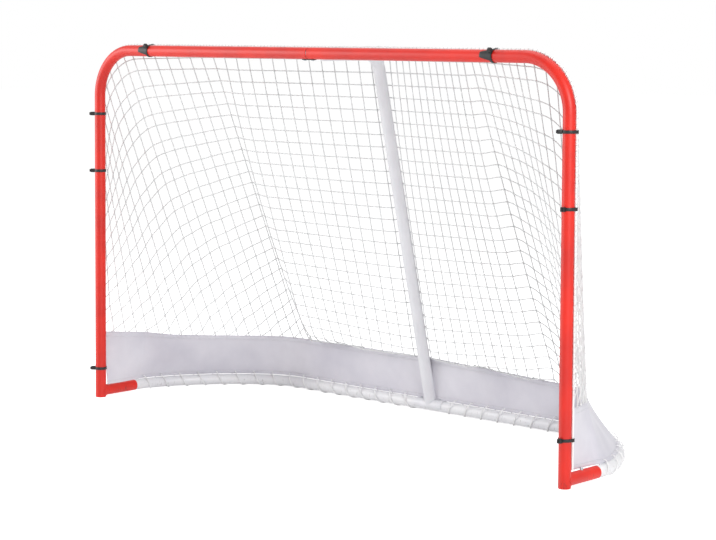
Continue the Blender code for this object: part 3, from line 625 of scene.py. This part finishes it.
# A bent plate that hugs a tube along X, from one angle to another, with rounded edges
def makeSaddle(name, centre, length, start, end, finish, replaces):
    radii = (saddle["outer"], saddle["inner"])
    outer, inner = (arcPoints((0, *centre), r, start, end, 40) for r in radii)
    outline = np.concatenate([outer, inner[::-1]])
    rings = [outline + (x, 0, 0) for x in (-length / 2, length / 2)]
    plate = makePiece(name, skin(rings), finish, replaces)
    bevelEdges(plate, saddle["edge"], 3, 35)


barLine, baseLine = (0, barHeight), (baseDepth, baseHeight)
makeSaddle("strutTopSaddle", barLine, *saddle["top"], nylon, ["strut_top_saddle"])
makeSaddle("strutFootSaddle", baseLine, *saddle["foot"], shadedWhiteCoat, ["strut_foot_saddle"])


# Pan head screws with a cross recess
# domed: the share of the head's height; root and tip: shares of the shank's radius
screw = {
    "shank": 0.0024,
    "head": 0.0048,
    "height": 0.0028,
    "domed": 0.65,
    "edge": 0.0003,
    "length": 0.010,
    "pitch": 0.0008,
    "threads": 11,
    "root": 0.84,
    "tip": 0.3,
    "topPlace": 0.016,
    "footPlace": 0.039,
}
recess = {"long": 0.0046, "wide": 0.001104, "deep": 0.0024, "above": 0.0003}


def makeScrew(name, place, down, replaces):
    head, high = screw["head"], screw["height"]
    arc = np.linspace(math.pi / 2 - 0.06, 0, 10)
    dome = [(head * math.cos(a), -high * (1 - screw["domed"] * (1 - math.sin(a)))) for a in arc]
    thread = []
    for crest in np.arange(screw["threads"]) * screw["pitch"]:
        thread += [(screw["shank"], crest), (screw["shank"] * screw["root"], crest + screw["pitch"] / 2)]
    tip = (screw["shank"] * screw["tip"], screw["length"])
    profile = [*dome, (head, -screw["edge"]), *thread, tip]
    points, faces, places = skin(turnedRings(profile))
    if down < 0:
        faces = [face[::-1] for face in faces]
    shape = (points * (1, 1, down) + np.array(place), faces, places)
    piece = makePiece(name, shape, zinc, replaces)
    middle = Vector(place) + Vector((0, postLine, -down * (high + recess["above"])))
    for size in ((recess["long"], recess["wide"]), (recess["wide"], recess["long"])):
        mesh = bpy.data.meshes.new("recess")
        block = bmesh.new()
        bmesh.ops.create_cube(block, size=1.0)
        for corner in block.verts:
            corner.co = middle + corner.co * Vector((*size, recess["deep"]))
        block.to_mesh(mesh)
        block.free()
        cutOut(piece, mesh)


for side, word in bothSides:
    spot = (side * screw["topPlace"], 0, barHeight - saddle["outer"])
    makeScrew("strutTopScrew_" + word, spot, 1, ["strut_top_screw_" + word])
    spot = (side * screw["footPlace"], baseDepth, baseHeight + saddle["outer"])
    makeScrew("strutFootScrew_" + word, spot, -1, ["strut_foot_screw_" + word])
print("strut is made")


# Cable ties and the edge rope that they hold behind the frame
rope = {"radius": 0.003, "offset": 0.0209, "angle": 60.0, "foot": 0.050}
ropeBack = rope["offset"] * math.cos(math.radians(rope["angle"]))
ropeOut = rope["offset"] * math.sin(math.radians(rope["angle"]))
leftRope, rightRope = (frameLine(side, ropeOut, ropeBack, rope["foot"]) for side in (-1, 1))
ropePath = np.vstack([leftRope, rightRope[-2::-1]])
ropeSteps = alongPath(ropePath, np.linspace(0, 1, 520))
makePiece("edgeRope", skin(ringsRound(ropeSteps, rope["radius"], 12, (0, 1, 0))), ropeCord, ["net_edge_rope"])

# head: its size along the strap, off the tube and across the strap; tail and window: their
# shares of the strap and the head; tab: the flat end of a crossbar tie that lies round the
# front of the bar, with its turns in degrees from the head
tie = {
    "width": 0.0090,
    "thickness": 0.0015,
    "head": (0.0105, 0.0130, 0.0125),
    "tail": {"length": 0.0035, "share": 0.55, "bend": 0.002},
    "window": {"share": 0.30, "rise": 0.0005},
    "tab": {"length": 0.042, "turn": 25.0, "wide": 60.0, "narrow": 24.0, "thickness": 0.0018},
    "gap": 0.0005,
    "ropeGap": 0.0003,
    "edge": 0.00035,
    "taper": 0.9,
}


# The strap's path round the tube and the rope beside it
def strapLoop(extra):
    big = tubeRadius + tie["gap"] + extra
    small = rope["radius"] + tie["ropeGap"] + extra
    spread = math.acos((big - small) / rope["offset"])
    wide = np.linspace(spread, 2 * math.pi - spread, 40)
    tight = np.linspace(-spread, spread, 14)
    first = np.stack([big * np.cos(wide), big * np.sin(wide)], -1)
    second = np.stack([rope["offset"] + small * np.cos(tight), small * np.sin(tight)], -1)
    return np.vstack([first, second])


# A bar along push from a box's middle; its end is farKeep as wide and bent aside
def boxShape(corner, sideA, sideB, push, farKeep=1.0, bend=(0, 0, 0), steps=1):
    rings = []
    for t in np.linspace(0, 1, steps + 1):
        keep = 1 + (farKeep - 1) * t
        middle = np.array(corner) + np.array(push) * t + np.array(bend) * t * t
        spokes = [s * np.array(sideA) + u * np.array(sideB) for s, u in ((-1, -1), (1, -1), (1, 1), (-1, 1))]
        rings.append([middle + keep * spoke for spoke in spokes])
    return skin(rings)


# A tab that hugs the tube and narrows to its end
def curvedTab(centre, headWay, along, axis):
    tab, rings = tie["tab"], []
    low = tubeRadius + tie["gap"]
    for t in np.linspace(0, 1, 9):
        reach = tab["wide"] + (tab["narrow"] - tab["wide"]) * t
        turns = np.radians(tab["turn"] + np.linspace(-reach, reach, 17))[:, None]
        spokes = np.cos(turns) * headWay + np.sin(turns) * along
        middle = centre + axis * (tie["width"] / 2 - tab["length"] * t)
        rings.append(np.vstack([middle + (low + tab["thickness"]) * spokes, middle + low * spokes[::-1]]))
    return skin(rings)


def makeTie(name, centre, ropeWay, axis, headWay, replaces, tabbed=False):
    centre, ropeWay, axis, headWay = (np.array(v, float) for v in (centre, ropeWay, axis, headWay))
    across = np.cross(axis, ropeWay)
    half, thick = tie["width"] / 2, tie["thickness"]
    rings = []
    for a, b in zip(strapLoop(0.0), strapLoop(thick)):
        at = [centre + p[0] * ropeWay + p[1] * across for p in (a, b)]
        rings.append([at[0] - half * axis, at[0] + half * axis, at[1] + half * axis, at[1] - half * axis])
    band = skin(rings, closed=True)
    long, high, wide = tie["head"]
    along = np.cross(axis, headWay)
    base = centre + headWay * (tubeRadius + tie["gap"] + thick / 2)
    head = boxShape(base, along * long / 2, axis * wide / 2, headWay * high, tie["taper"])
    if tabbed:
        end = curvedTab(centre, headWay, along, axis)
    else:
        tail = tie["tail"]
        push, bend = headWay * (high / 2 + tail["length"]), along * tail["bend"]
        start = base + headWay * high / 2
        end = boxShape(start, along * thick * tail["share"], axis * half, push, 0.95, bend, 6)
    # the pawl's window shows as a raised frame on the head's outer face
    share, rise = tie["window"]["share"], tie["window"]["rise"]
    sides = along * long * share, axis * wide * share
    window = boxShape(base + headWay * high, *sides, headWay * rise, tie["taper"])
    piece = makePiece(name, joinShapes([band, head, end, window]), nylon, replaces, sharp=40)
    bevelEdges(piece, tie["edge"], 2, 40)


ropeTurn, frontTurn = math.radians(rope["angle"]), math.radians(140)
# heights and the heads' turns round the posts as in the photo, where no two are quite alike
postTies = {
    "left": {"upper": (0.944, 222), "middle": (0.756, 222), "lower": (0.097, 222)},
    "right": {"upper": (0.956, 222), "middle": (0.751, 273), "lower": (0.132, 271)},
}
crossbarTies = {"left": -0.706, "right": 0.700}
for side, word in bothSides:
    for level, (height, turn) in postTies[word].items():
        makeTie(
            word + level.capitalize() + "Tie",
            (side * postX, 0, height),
            (side * math.sin(ropeTurn), math.cos(ropeTurn), 0),
            (0, 0, 1),
            (math.cos(math.radians(turn)), math.sin(math.radians(turn)), 0),
            [word + "_" + level + "_tie"],
        )
    makeTie(
        "crossbar" + word.capitalize() + "Tie",
        (crossbarTies[word], 0, barHeight),
        (0, math.cos(ropeTurn), math.sin(ropeTurn)),
        (1, 0, 0),
        (0, math.cos(frontTurn), math.sin(frontTurn)),
        ["crossbar_" + word + "_tie"],
        tabbed=True,
    )
print("rope and ties are made")


# Skirt: a band of coated vinyl that stands on the base and leans in to the net. hem and top:
# how far each edge stands outside the base's middle line, at places from a post (0) to the
# middle (1); height: that of the top. The two sides of the top differ in the photo.
topShares = [0, 0.08, 0.16, 0.3, 0.42, 0.6, 1.0]
skirt = {
    "hemHeight": 0.0405,
    "start": 0.0205,
    "thickness": 0.0012,
    "hem": ([0, 0.06, 0.13, 1.0], [-0.0105, -0.0105, 0.001, 0.001]),
    "top": {
        -1: (topShares, [0.0155, -0.0325, -0.0775, -0.0825, -0.0525, -0.0195, -0.0125]),
        1: (topShares, [0.0155, -0.0325, -0.0775, -0.1100, -0.0800, -0.0195, -0.0125]),
    },
    "height": {
        -1: ([0, 0.1, 0.2, 0.4, 0.6, 1.0], [0.215, 0.205, 0.192, 0.180, 0.178, 0.176]),
        1: ([0, 0.1, 0.2, 0.4, 0.6, 0.8, 1.0], [0.215, 0.203, 0.185, 0.163, 0.158, 0.168, 0.176]),
    },
    "belly": 0.003,
    "wave": 0.0022,
    # ripples along the hem: height, turns in radians a metre and start
    "ripples": ((0.5, 23.0, 0.0), (0.3, 57.0, 1.3), (1.0, 9.1, 0.4)),
    "columns": 640,
    "rows": 14,
}


def smooth(values, reach):
    weights = np.hanning(2 * reach + 1)
    padded = np.pad(values, reach, mode="edge")
    return np.convolve(padded, weights / weights.sum(), "valid")


hemPlan = np.vstack([(postX, skirt["start"]), basePlan, (0, baseDepth)])


# Both edges of the skirt from the left post to the right one, as lines in space
def skirtEdges(count):
    share = np.linspace(0, 1, count)
    line, outward = alongPath(hemPlan, share), outwardFrom(hemPlan, share, 0.01)

    def edgeLine(side, away, height):
        far = smooth(np.interp(share, *away), count // 24)[:, None]
        return np.column_stack([line + outward * far, height]) * (side, 1, 1)

    uppers, lowers = [], []
    for side in (-1, 1):
        high = smooth(np.interp(share, *skirt["height"][side]), count // 24)
        uppers.append(edgeLine(side, skirt["top"][side], high))
        lowers.append(edgeLine(side, skirt["hem"], np.full(count, skirt["hemHeight"])))
    return tuple(np.vstack([left, right[-2::-1]]) for left, right in (uppers, lowers))


skirtTop, skirtHem = skirtEdges(481)


def makeSkirt():
    share = np.linspace(0, 1, skirt["columns"] + 1)
    top, hem = alongPath(skirtTop, share), alongPath(skirtHem, share)
    run = share * lengthsAlong(hem)[-1]
    out = unit(np.cross(np.gradient(hem, axis=0), (0, 0, 1)))
    grid = []
    for up in np.linspace(0, 1, skirt["rows"] + 1):
        line = hem * (1 - up) + top * up
        # flat at both edges, it bellies out a little and ripples between them
        loose = math.sin(math.pi * up) * np.clip(np.minimum(share, 1 - share) * 40, 0, 1)
        ripple = sum(high * np.sin(run * speed + start) for high, speed, start in skirt["ripples"])
        grid.append(line + out * (loose * (skirt["belly"] + skirt["wave"] * ripple))[:, None])
    return np.array(grid), run


skirtGrid, skirtRun = makeSkirt()


def sheetShape(grid, run):
    rows, columns = grid.shape[:2]
    i, j = np.meshgrid(np.arange(rows - 1), np.arange(columns - 1), indexing="ij")
    here = i * columns + j
    faces = np.stack([here, here + 1, here + columns + 1, here + columns], -1).reshape(-1, 4)
    rise = np.linalg.norm(np.diff(grid, axis=0), axis=2).mean(1)
    up = np.r_[0, np.cumsum(rise)]
    # U starts at 2, where makePiece leaves it as it is
    across, high = np.meshgrid(run + 2.0, up)
    return grid.reshape(-1, 3), faces.tolist(), np.stack([across, high], -1).reshape(-1, 2)


skirtPiece = makePiece("vinylSkirt", sheetShape(skirtGrid, skirtRun), vinyl, ["net_skirt"])
thicken = skirtPiece.modifiers.new("thickness", "SOLIDIFY")
thicken.thickness, thicken.offset = skirt["thickness"], 0
applyModifiers(skirtPiece)


# A folded tape on an edge of the skirt: in section a flat loop with full corners
def edgeTape(name, line, upward, width, depth):
    angle = np.linspace(0, 2 * np.pi, 17)[:-1, None]
    c, s = np.cos(angle), np.sin(angle)
    thick = np.copysign(np.abs(c) ** 0.7, c) * depth / 2
    tall = np.copysign(np.abs(s) ** 0.45, s) * width / 2
    rings = line[:, None] + outward[:, None] * thick + upward[:, None] * tall
    return makePiece(name, skin(rings), vinyl)


topLine, hemLine = skirtGrid[-1], skirtGrid[0]
outward = unit(np.cross(np.gradient(topLine, axis=0), (0, 0, 1)))
topUp, hemUp = unit(topLine - skirtGrid[-2]), unit(skirtGrid[1] - hemLine)
tape = {"topDrop": 0.008, "top": (0.018, 0.0032), "hemRise": 0.006, "hem": (0.013, 0.0034)}
topTape = edgeTape("skirtTopHem", topLine - topUp * tape["topDrop"], topUp, *tape["top"])
hemTape = edgeTape("skirtBottomHem", hemLine + hemUp * tape["hemRise"], hemUp, *tape["hem"])


# Rows of stitches on both faces of the hems; rows: how far each row is above a hem's line
stitch = {"length": 0.0048, "gap": 0.0020, "radius": 0.0004, "lift": 0.0003, "face": 0.0017}
stitch["rows"] = ((topLine, topUp, -0.0025), (topLine, topUp, -0.0140), (hemLine, hemUp, 0.0110))


def stitchRow(line, face):
    total = lengthsAlong(line)[-1]
    step, long = (stitch["length"] + stitch["gap"]) / total, stitch["length"] / total
    shapes = []
    for share in np.arange(int(1 / step)) * step:
        spots = alongPath(line, share + np.linspace(0, long, 3))
        lift = alongPath(face, share + long / 2)
        path = spots + np.array([[0.0], [1.0], [0.0]]) * lift * stitch["lift"] + lift * 0.0001
        shapes.append(skin(ringsRound(path, stitch["radius"], 4, (0, 0, 1))))
    return joinShapes(shapes)


stitches = []
for line, up, drop in stitch["rows"]:
    for face in (1, -1):
        stitches.append(stitchRow(line + up * drop + outward * face * stitch["face"], outward * face))
threads = makePiece("hemStitches", joinShapes(stitches), seamThread, sharp=60)
print("skirt is made")


# Lacing: a cord that goes through the skirt's hem and round the base tube
# end: how far from the middle it stops; rise: how far it leaves the tube on top
lacing = {
    "radius": 0.00175,
    "pitch": 0.065,
    "steps": 36,
    "end": 0.0585,
    "rise": 0.0085,
    "offTube": 0.0004,
    "offFloor": 0.0001,
}


def lacingPath(side):
    plan = np.vstack([basePlan[4:], [(lacing["end"], baseDepth)]])
    turns = round(lengthsAlong(plan)[-1] / lacing["pitch"])
    share = np.linspace(0, 1, turns * lacing["steps"] + 1)
    spots = alongPath(plan, share)
    turn = 2 * np.pi * share * turns
    # on top the cord goes through the hem, elsewhere it lies on the tube
    above = np.clip(np.sin(turn), 0, 1) ** 2
    reach = tubeRadius + lacing["offTube"] + lacing["radius"] + above * lacing["rise"]
    flat = spots + outwardFrom(plan, share, 0.004) * (reach * np.cos(turn))[:, None]
    height = np.maximum(baseHeight + reach * np.sin(turn), lacing["radius"] + lacing["offFloor"])
    return np.column_stack([side * flat[:, 0], flat[:, 1], height])


for side, word in bothSides:
    lace = skin(ringsRound(lacingPath(side), lacing["radius"], 8, (0, 0, 1)))
    makePiece(word + "Lacing", lace, laceCord, [word + "_lacing"])
print("lacing is made, metres a side:", round(float(lengthsAlong(lacingPath(1))[-1]), 2))


# Net: square meshes, hung by relaxing a lattice of inextensible links under gravity
net = {
    "columns": 64,
    "across": 0.0417,
    "down": 0.0397,
    "topCorner": 0.79,
    "middleRows": 28.5,
    "flatTo": 0.35,
    "least": 0.5,
    "slack": 1.03,
    "steps": 900,
    "gravity": 4e-6,
    "damping": 0.97,
    "twine": 0.0017,
    "knot": 0.0031,
    "strutRoom": 0.0215,
    # the seam between the top and the back: it leaves the crossbar here and peaks over the strut
    "leave": 0.80,
    "seamDepth": 0.3265,
    "seamHeight": 1.1706,
    "seam": 0.0021,
    "topSag": 0.022,
    "aboveSkirt": 0.003,
    # shares of a mesh: the least that ends a column, and how far a knot reaches from its middle
    "lastMesh": 0.15,
    "knotReach": 0.09,
    "leastLink": 0.004,
    "nearStrut": 0.06,
    "offStrut": 0.0004,
}


# Keeps points near the middle on the outer side of the strut, which holds the net up
def offStrut(points, room):
    bend, foot = strutLine(8)
    line = np.vstack([[(0, 0.02, strut["topHeight"])], bend, [foot]])[:, 1:]
    starts, ways = line[:-1], np.diff(line, axis=0)
    lengths = np.linalg.norm(ways, axis=1)
    ways /= lengths[:, None]
    flat = points[:, None, 1:]
    along = np.clip(((flat - starts) * ways).sum(2), 0, lengths)
    gap = flat - (starts + along[..., None] * ways)
    nearest = np.arange(len(points)), np.linalg.norm(gap, axis=2).argmin(1)
    gap, way = gap[nearest], ways[nearest[1]]
    outward = np.stack([-way[:, 1], way[:, 0]], -1)
    side = np.copysign(np.linalg.norm(gap, axis=1), (gap * outward).sum(1))
    # across the strut its round side needs less room
    need = np.sqrt(np.maximum(room**2 - points[:, 0] ** 2, 0))
    push = np.maximum(need - side, 0) * (np.abs(points[:, 0]) < room)
    moved = points.copy()
    moved[:, 1:] += push[:, None] * outward
    return moved


# Upper edge of the hanging part, from the middle to the right post: the seam, then the frame
def netEdge():
    line = frameLine(1, ropeOut, ropeBack, net["topCorner"])
    line = line[line[:, 0] > net["leave"]]
    leaving = (net["leave"], ropeBack, barHeight + ropeOut)
    return np.vstack([line, leaving, (0, net["seamDepth"], net["seamHeight"])])[::-1]


def hangNet():
    count, across, down = net["columns"], net["across"], net["down"]
    share = np.linspace(-1, 1, count + 1)
    top = alongPath(netEdge(), np.abs(share))
    top[:, 0] *= np.sign(share)
    bottom = alongPath(skirtTop, (share + 1) / 2)
    sideRows = (net["topCorner"] - bottom[0, 2]) / down
    inward = np.clip((1 - np.abs(share)) / (1 - net["flatTo"]), 0, 1)
    rows = sideRows + (net["middleRows"] - sideRows) * inward
    reach = net["slack"] * np.linalg.norm(top - bottom, axis=1) / down
    rows[1:-1] = np.minimum(rows, reach)[1:-1]
    whole = np.floor(rows - net["lastMesh"]).astype(int)
    deep = whole.max() + 1
    spots = np.zeros((count + 1, deep, 3))
    there = np.arange(deep)[None, :] <= whole[:, None]
    for i in range(count + 1):
        spots[i] = top[i] + (bottom[i] - top[i]) * (np.arange(deep) / rows[i])[:, None]
    for i in (0, count):
        spots[i, : whole[i], 1] = top[i, 1]
    held = ~there
    held[:, 0] = held[0] = held[-1] = True
    free = (~held).astype(float)[..., None]
    downOk, acrossOk = there[:, :-1] & there[:, 1:], there[:-1] & there[1:]
    numbers = np.arange(count + 1)
    lastReach = (rows - whole) * down
    sewn = []  # rows that end on the skirt between two columns
    for i in range(count):
        a, b = (i, i + 1) if rows[i] <= rows[i + 1] else (i + 1, i)
        for j in range(whole[a] + 1, whole[b] + 1):
            part = np.clip((j - rows[a]) / (rows[b] - rows[a]), 0, 1)
            spot = alongPath(skirtTop, (share[a] + (share[b] - share[a]) * part + 1) / 2)
            sewn.append((b, j, spot, max((1 - part) * across, net["leastLink"])))
    sewnI, sewnJ, sewnAt, sewnReach = (np.array(part) for part in zip(*sewn))

    # Pulls linked rows of knots together, every second link in turn
    def pull(knots, loose, ok, rest):
        for first in (0, 1):
            end = first + (len(knots) - first) // 2 * 2
            near, far = np.s_[first:end:2], np.s_[first + 1 : end : 2]
            gap = knots[far] - knots[near]
            long = np.linalg.norm(gap, axis=-1, keepdims=True) + 1e-12
            over = np.maximum(long - rest, 0) + np.minimum(long - rest * net["least"], 0)
            step = gap * over / long * ok[first : end - 1 : 2, ..., None]
            step /= np.maximum(loose[near] + loose[far], 1)
            knots[near] += step * loose[near]
            knots[far] -= step * loose[far]

    def reel(i, j, at, reach):
        gap = at - spots[i, j]
        long = np.linalg.norm(gap, axis=1)
        spots[i, j] += gap * (np.maximum(long - reach, 0) / np.maximum(long, 1e-9))[:, None] * free[i, j]

    before = spots.copy()
    fall = np.array([0, 0, -net["gravity"]])
    middle = count // 2
    for _ in range(net["steps"]):
        speed = (spots - before) * net["damping"]
        before = spots.copy()
        spots += (speed + fall) * free
        for _ in range(3):
            pull(spots.swapaxes(0, 1), free.swapaxes(0, 1), downOk.T, down)
            pull(spots, free, acrossOk, across)
            reel(numbers, whole, bottom, lastReach)
            reel(sewnI, sewnJ, sewnAt, sewnReach)
        spots[middle, 1:] = offStrut(spots[middle, 1:], net["strutRoom"])
    # slack meshes bunch up on the skirt's edge instead of hanging in front of it
    spots[..., 2] = np.maximum(spots[..., 2], bottom[:, None, 2] + net["aboveSkirt"])
    return spots, there, whole, bottom, sewn


netSpots, netThere, netWhole, netBottom, netSewn = hangNet()


# A place on the net's top: from the rope (0) straight back to the seam (1)
def topPlace(x, back):
    edge = 1 - abs(x) / net["leave"]
    y = ropeBack + back * edge * (net["seamDepth"] - ropeBack)
    sag = net["topSag"] * math.sin(math.pi * back) * math.sin(math.pi * min(edge, 1) ** 1.5)
    return np.array([x, y, barHeight + ropeOut - sag])


# A strand through its knots: a smooth curve that is thicker at each knot
def strandShape(knots):
    knots = np.array(knots)
    count = len(knots)
    ghost = np.vstack([2 * knots[0] - knots[1], knots, 2 * knots[-1] - knots[-2]])
    path, radii = [], []
    shares = (0.0, net["knotReach"], 0.5, 1 - net["knotReach"])
    for k in range(count - 1):
        a, b, c, d = ghost[k : k + 4]
        second, third = 2 * a - 5 * b + 4 * c - d, 3 * b - a - 3 * c + d
        for t in shares:
            path.append(0.5 * (2 * b + (c - a) * t + second * t * t + third * t**3))
            radii.append(net["knot"] if t == 0.0 and k > 0 else net["twine"])
    path.append(knots[-1])
    radii.append(net["twine"])
    path = np.array(path)
    middle = np.abs(path[:, 0]) < net["nearStrut"]
    path[middle] = offStrut(path[middle], strut["radius"] + net["twine"] + net["offStrut"])
    way = path[-1] - path[0]
    first = (1, 0, 0) if abs(way[2]) > abs(way[0]) else (0, 0, 1)
    return skin(ringsRound(path, radii, 6, first))


strands = []
lastColumn, lastRow = netThere.shape[0] - 1, netThere.shape[1]
topColumns = [i for i in range(lastColumn + 1) if abs(netSpots[i, 0, 0]) < net["leave"] - 0.01]
for i in range(lastColumn + 1):
    line = [*netSpots[i, : netWhole[i] + 1], netBottom[i]]
    if i in topColumns:
        x, reach = netSpots[i, 0, 0], netSpots[i, 0, 1] - ropeBack
        cells = max(1, round(reach / net["down"]))
        line = [topPlace(x, k / cells) for k in range(cells)] + line
    strands.append(strandShape(line))
for j in range(1, lastRow):
    run = [i for i in range(lastColumn + 1) if netThere[i, j]]
    ends = {i: spot for i, row, spot, _ in netSewn if row == j}
    for part in np.split(run, np.where(np.diff(run) > 1)[0] + 1):
        line = [netSpots[i, j] for i in part]
        if part[0] in ends and part[0] <= lastColumn / 2:
            line.insert(0, ends[part[0]])
        if part[-1] in ends and part[-1] > lastColumn / 2:
            line.append(ends[part[-1]])
        if len(line) > 1:
            strands.append(strandShape(line))
# rows of the top run along X until the seam cuts them off
topDepth = net["seamDepth"] - ropeBack
for y in np.arange(1, int(topDepth / net["down"]) + 1) * net["down"]:
    reach = net["leave"] * (1 - y / topDepth)
    inside = [netSpots[i, 0, 0] for i in topColumns if abs(netSpots[i, 0, 0]) < reach]
    line = [topPlace(x, y / topDepth / (1 - abs(x) / net["leave"])) for x in (-reach, *inside, reach)]
    strands.append(strandShape(line))
seamLine = netEdge()
seamLine = seamLine[seamLine[:, 0] <= net["leave"]]
seamPath = alongPath(np.vstack([seamLine[::-1] * (-1, 1, 1), seamLine[1:]]), np.linspace(0, 1, 120))
strands.append(skin(ringsRound(seamPath, net["seam"], 8, (0, 0, 1))))
netNodes = ["net_" + word + "_" + part for word in ("left", "right") for part in ("side", "back", "top")]
makePiece("net", joinShapes(strands), netTwine, netNodes, sharp=70)

# Twine whipped round the edge rope and through the first meshes
whip = {"pitch": 0.0152, "steps": 10, "radius": 0.0011, "sunk": 0.7, "length": 3.9}
whipCount = int(whip["length"] / whip["pitch"] * whip["steps"])
whipPath = alongPath(ropePath, np.linspace(0.05, 0.95, whipCount))
whipSide, whipOver = crossFrames(whipPath, (0, 1, 0))
whipTurn = np.arange(len(whipPath))[:, None] * 2 * np.pi / whip["steps"]
whipRadius = rope["radius"] + whip["radius"] * whip["sunk"]
whipLine = whipPath + whipRadius * (np.cos(whipTurn) * whipSide + np.sin(whipTurn) * whipOver)
makePiece("netWhipping", skin(ringsRound(whipLine, whip["radius"], 5, (0, 1, 0))), netTwine, sharp=70)
print("net is hung:", len(strands), "strands")


# What stays as the frame's own nodes: plugs and sleeves inside the tubes
kept = {"left_post_plug": nylon, "right_post_plug": nylon, "crossbar_sleeve": zinc, "base_sleeve": zinc}
for name, finish in kept.items():
    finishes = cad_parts[name].data.materials
    finishes.clear()
    finishes.append(finish)


# Studio: a white floor that keeps the shadow, a white world and soft boxes
studio = {
    "floorHalf": 30.0,
    "worldLight": 0.34,
    "floorGlow": 0.72,
    "boxes": [
        {"name": "keyBox", "place": (4.4, -2.0, 2.3), "size": 1.8, "watts": 150},
        {"name": "fillBox", "place": (-4.0, -3.0, 1.8), "size": 3.0, "watts": 150},
        {"name": "topBox", "place": (0.0, 0.4, 4.2), "size": 3.4, "watts": 60},
    ],
}


# One for rays from the camera, off glossy surfaces and through clear ones
def backdropRays(tree):
    ray = addNode(tree, "LightPath")
    eye, gloss, deep = (ray.outputs["Is " + kind + " Ray"] for kind in ("Camera", "Glossy", "Transmission"))
    return calculate(tree, "MAXIMUM", calculate(tree, "MAXIMUM", eye, gloss), deep)


def makeStudio():
    corners = np.array([(-1, -1, 0), (1, -1, 0), (1, 1, 0), (-1, 1, 0)]) * studio["floorHalf"]
    floor = addObject("floor", newMesh("floor", corners, [(0, 1, 2, 3)]))
    paper = bpy.data.materials.new("whiteFloor")
    paper.use_nodes = True
    tree = paper.node_tree
    tree.nodes.clear()
    matt = addNode(tree, "BsdfDiffuse", {"Color": toLinear("#f4f4f4")})
    seen = calculate(tree, "MULTIPLY", backdropRays(tree), studio["floorGlow"])
    glow = addNode(tree, "Emission", {"Color": toLinear("#ffffff"), "Strength": seen})
    both = addNode(tree, "AddShader", enumerate((matt.outputs["BSDF"], glow.outputs["Emission"])))
    addNode(tree, "OutputMaterial", {"Surface": both.outputs["Shader"]})
    floor.data.materials.append(paper)

    world = bpy.data.worlds.new("studio")
    bpy.context.scene.world = world
    world.use_nodes = True
    tree = world.node_tree
    tree.nodes.clear()
    shades = [
        addNode(tree, "Background", {"Color": toLinear("#ffffff"), "Strength": strength}).outputs[0]
        for strength in (studio["worldLight"], 1.0)
    ]
    mix = addNode(tree, "MixShader", enumerate([backdropRays(tree), *shades]))
    addNode(tree, "OutputWorld", {"Surface": mix.outputs["Shader"]})

    for box in studio["boxes"]:
        lamp = bpy.data.lights.new(box["name"], "AREA")
        lamp.shape, lamp.size, lamp.energy = "SQUARE", box["size"], box["watts"]
        holder = addObject(box["name"], lamp)
        holder.location = box["place"]
        aim = Vector((0, 0, 0.5)) - holder.location
        holder.rotation_euler = aim.to_track_quat("-Z", "Y").to_euler()


makeStudio()
bpy.context.scene.view_settings.view_transform = "Standard"
print("studio is lit")
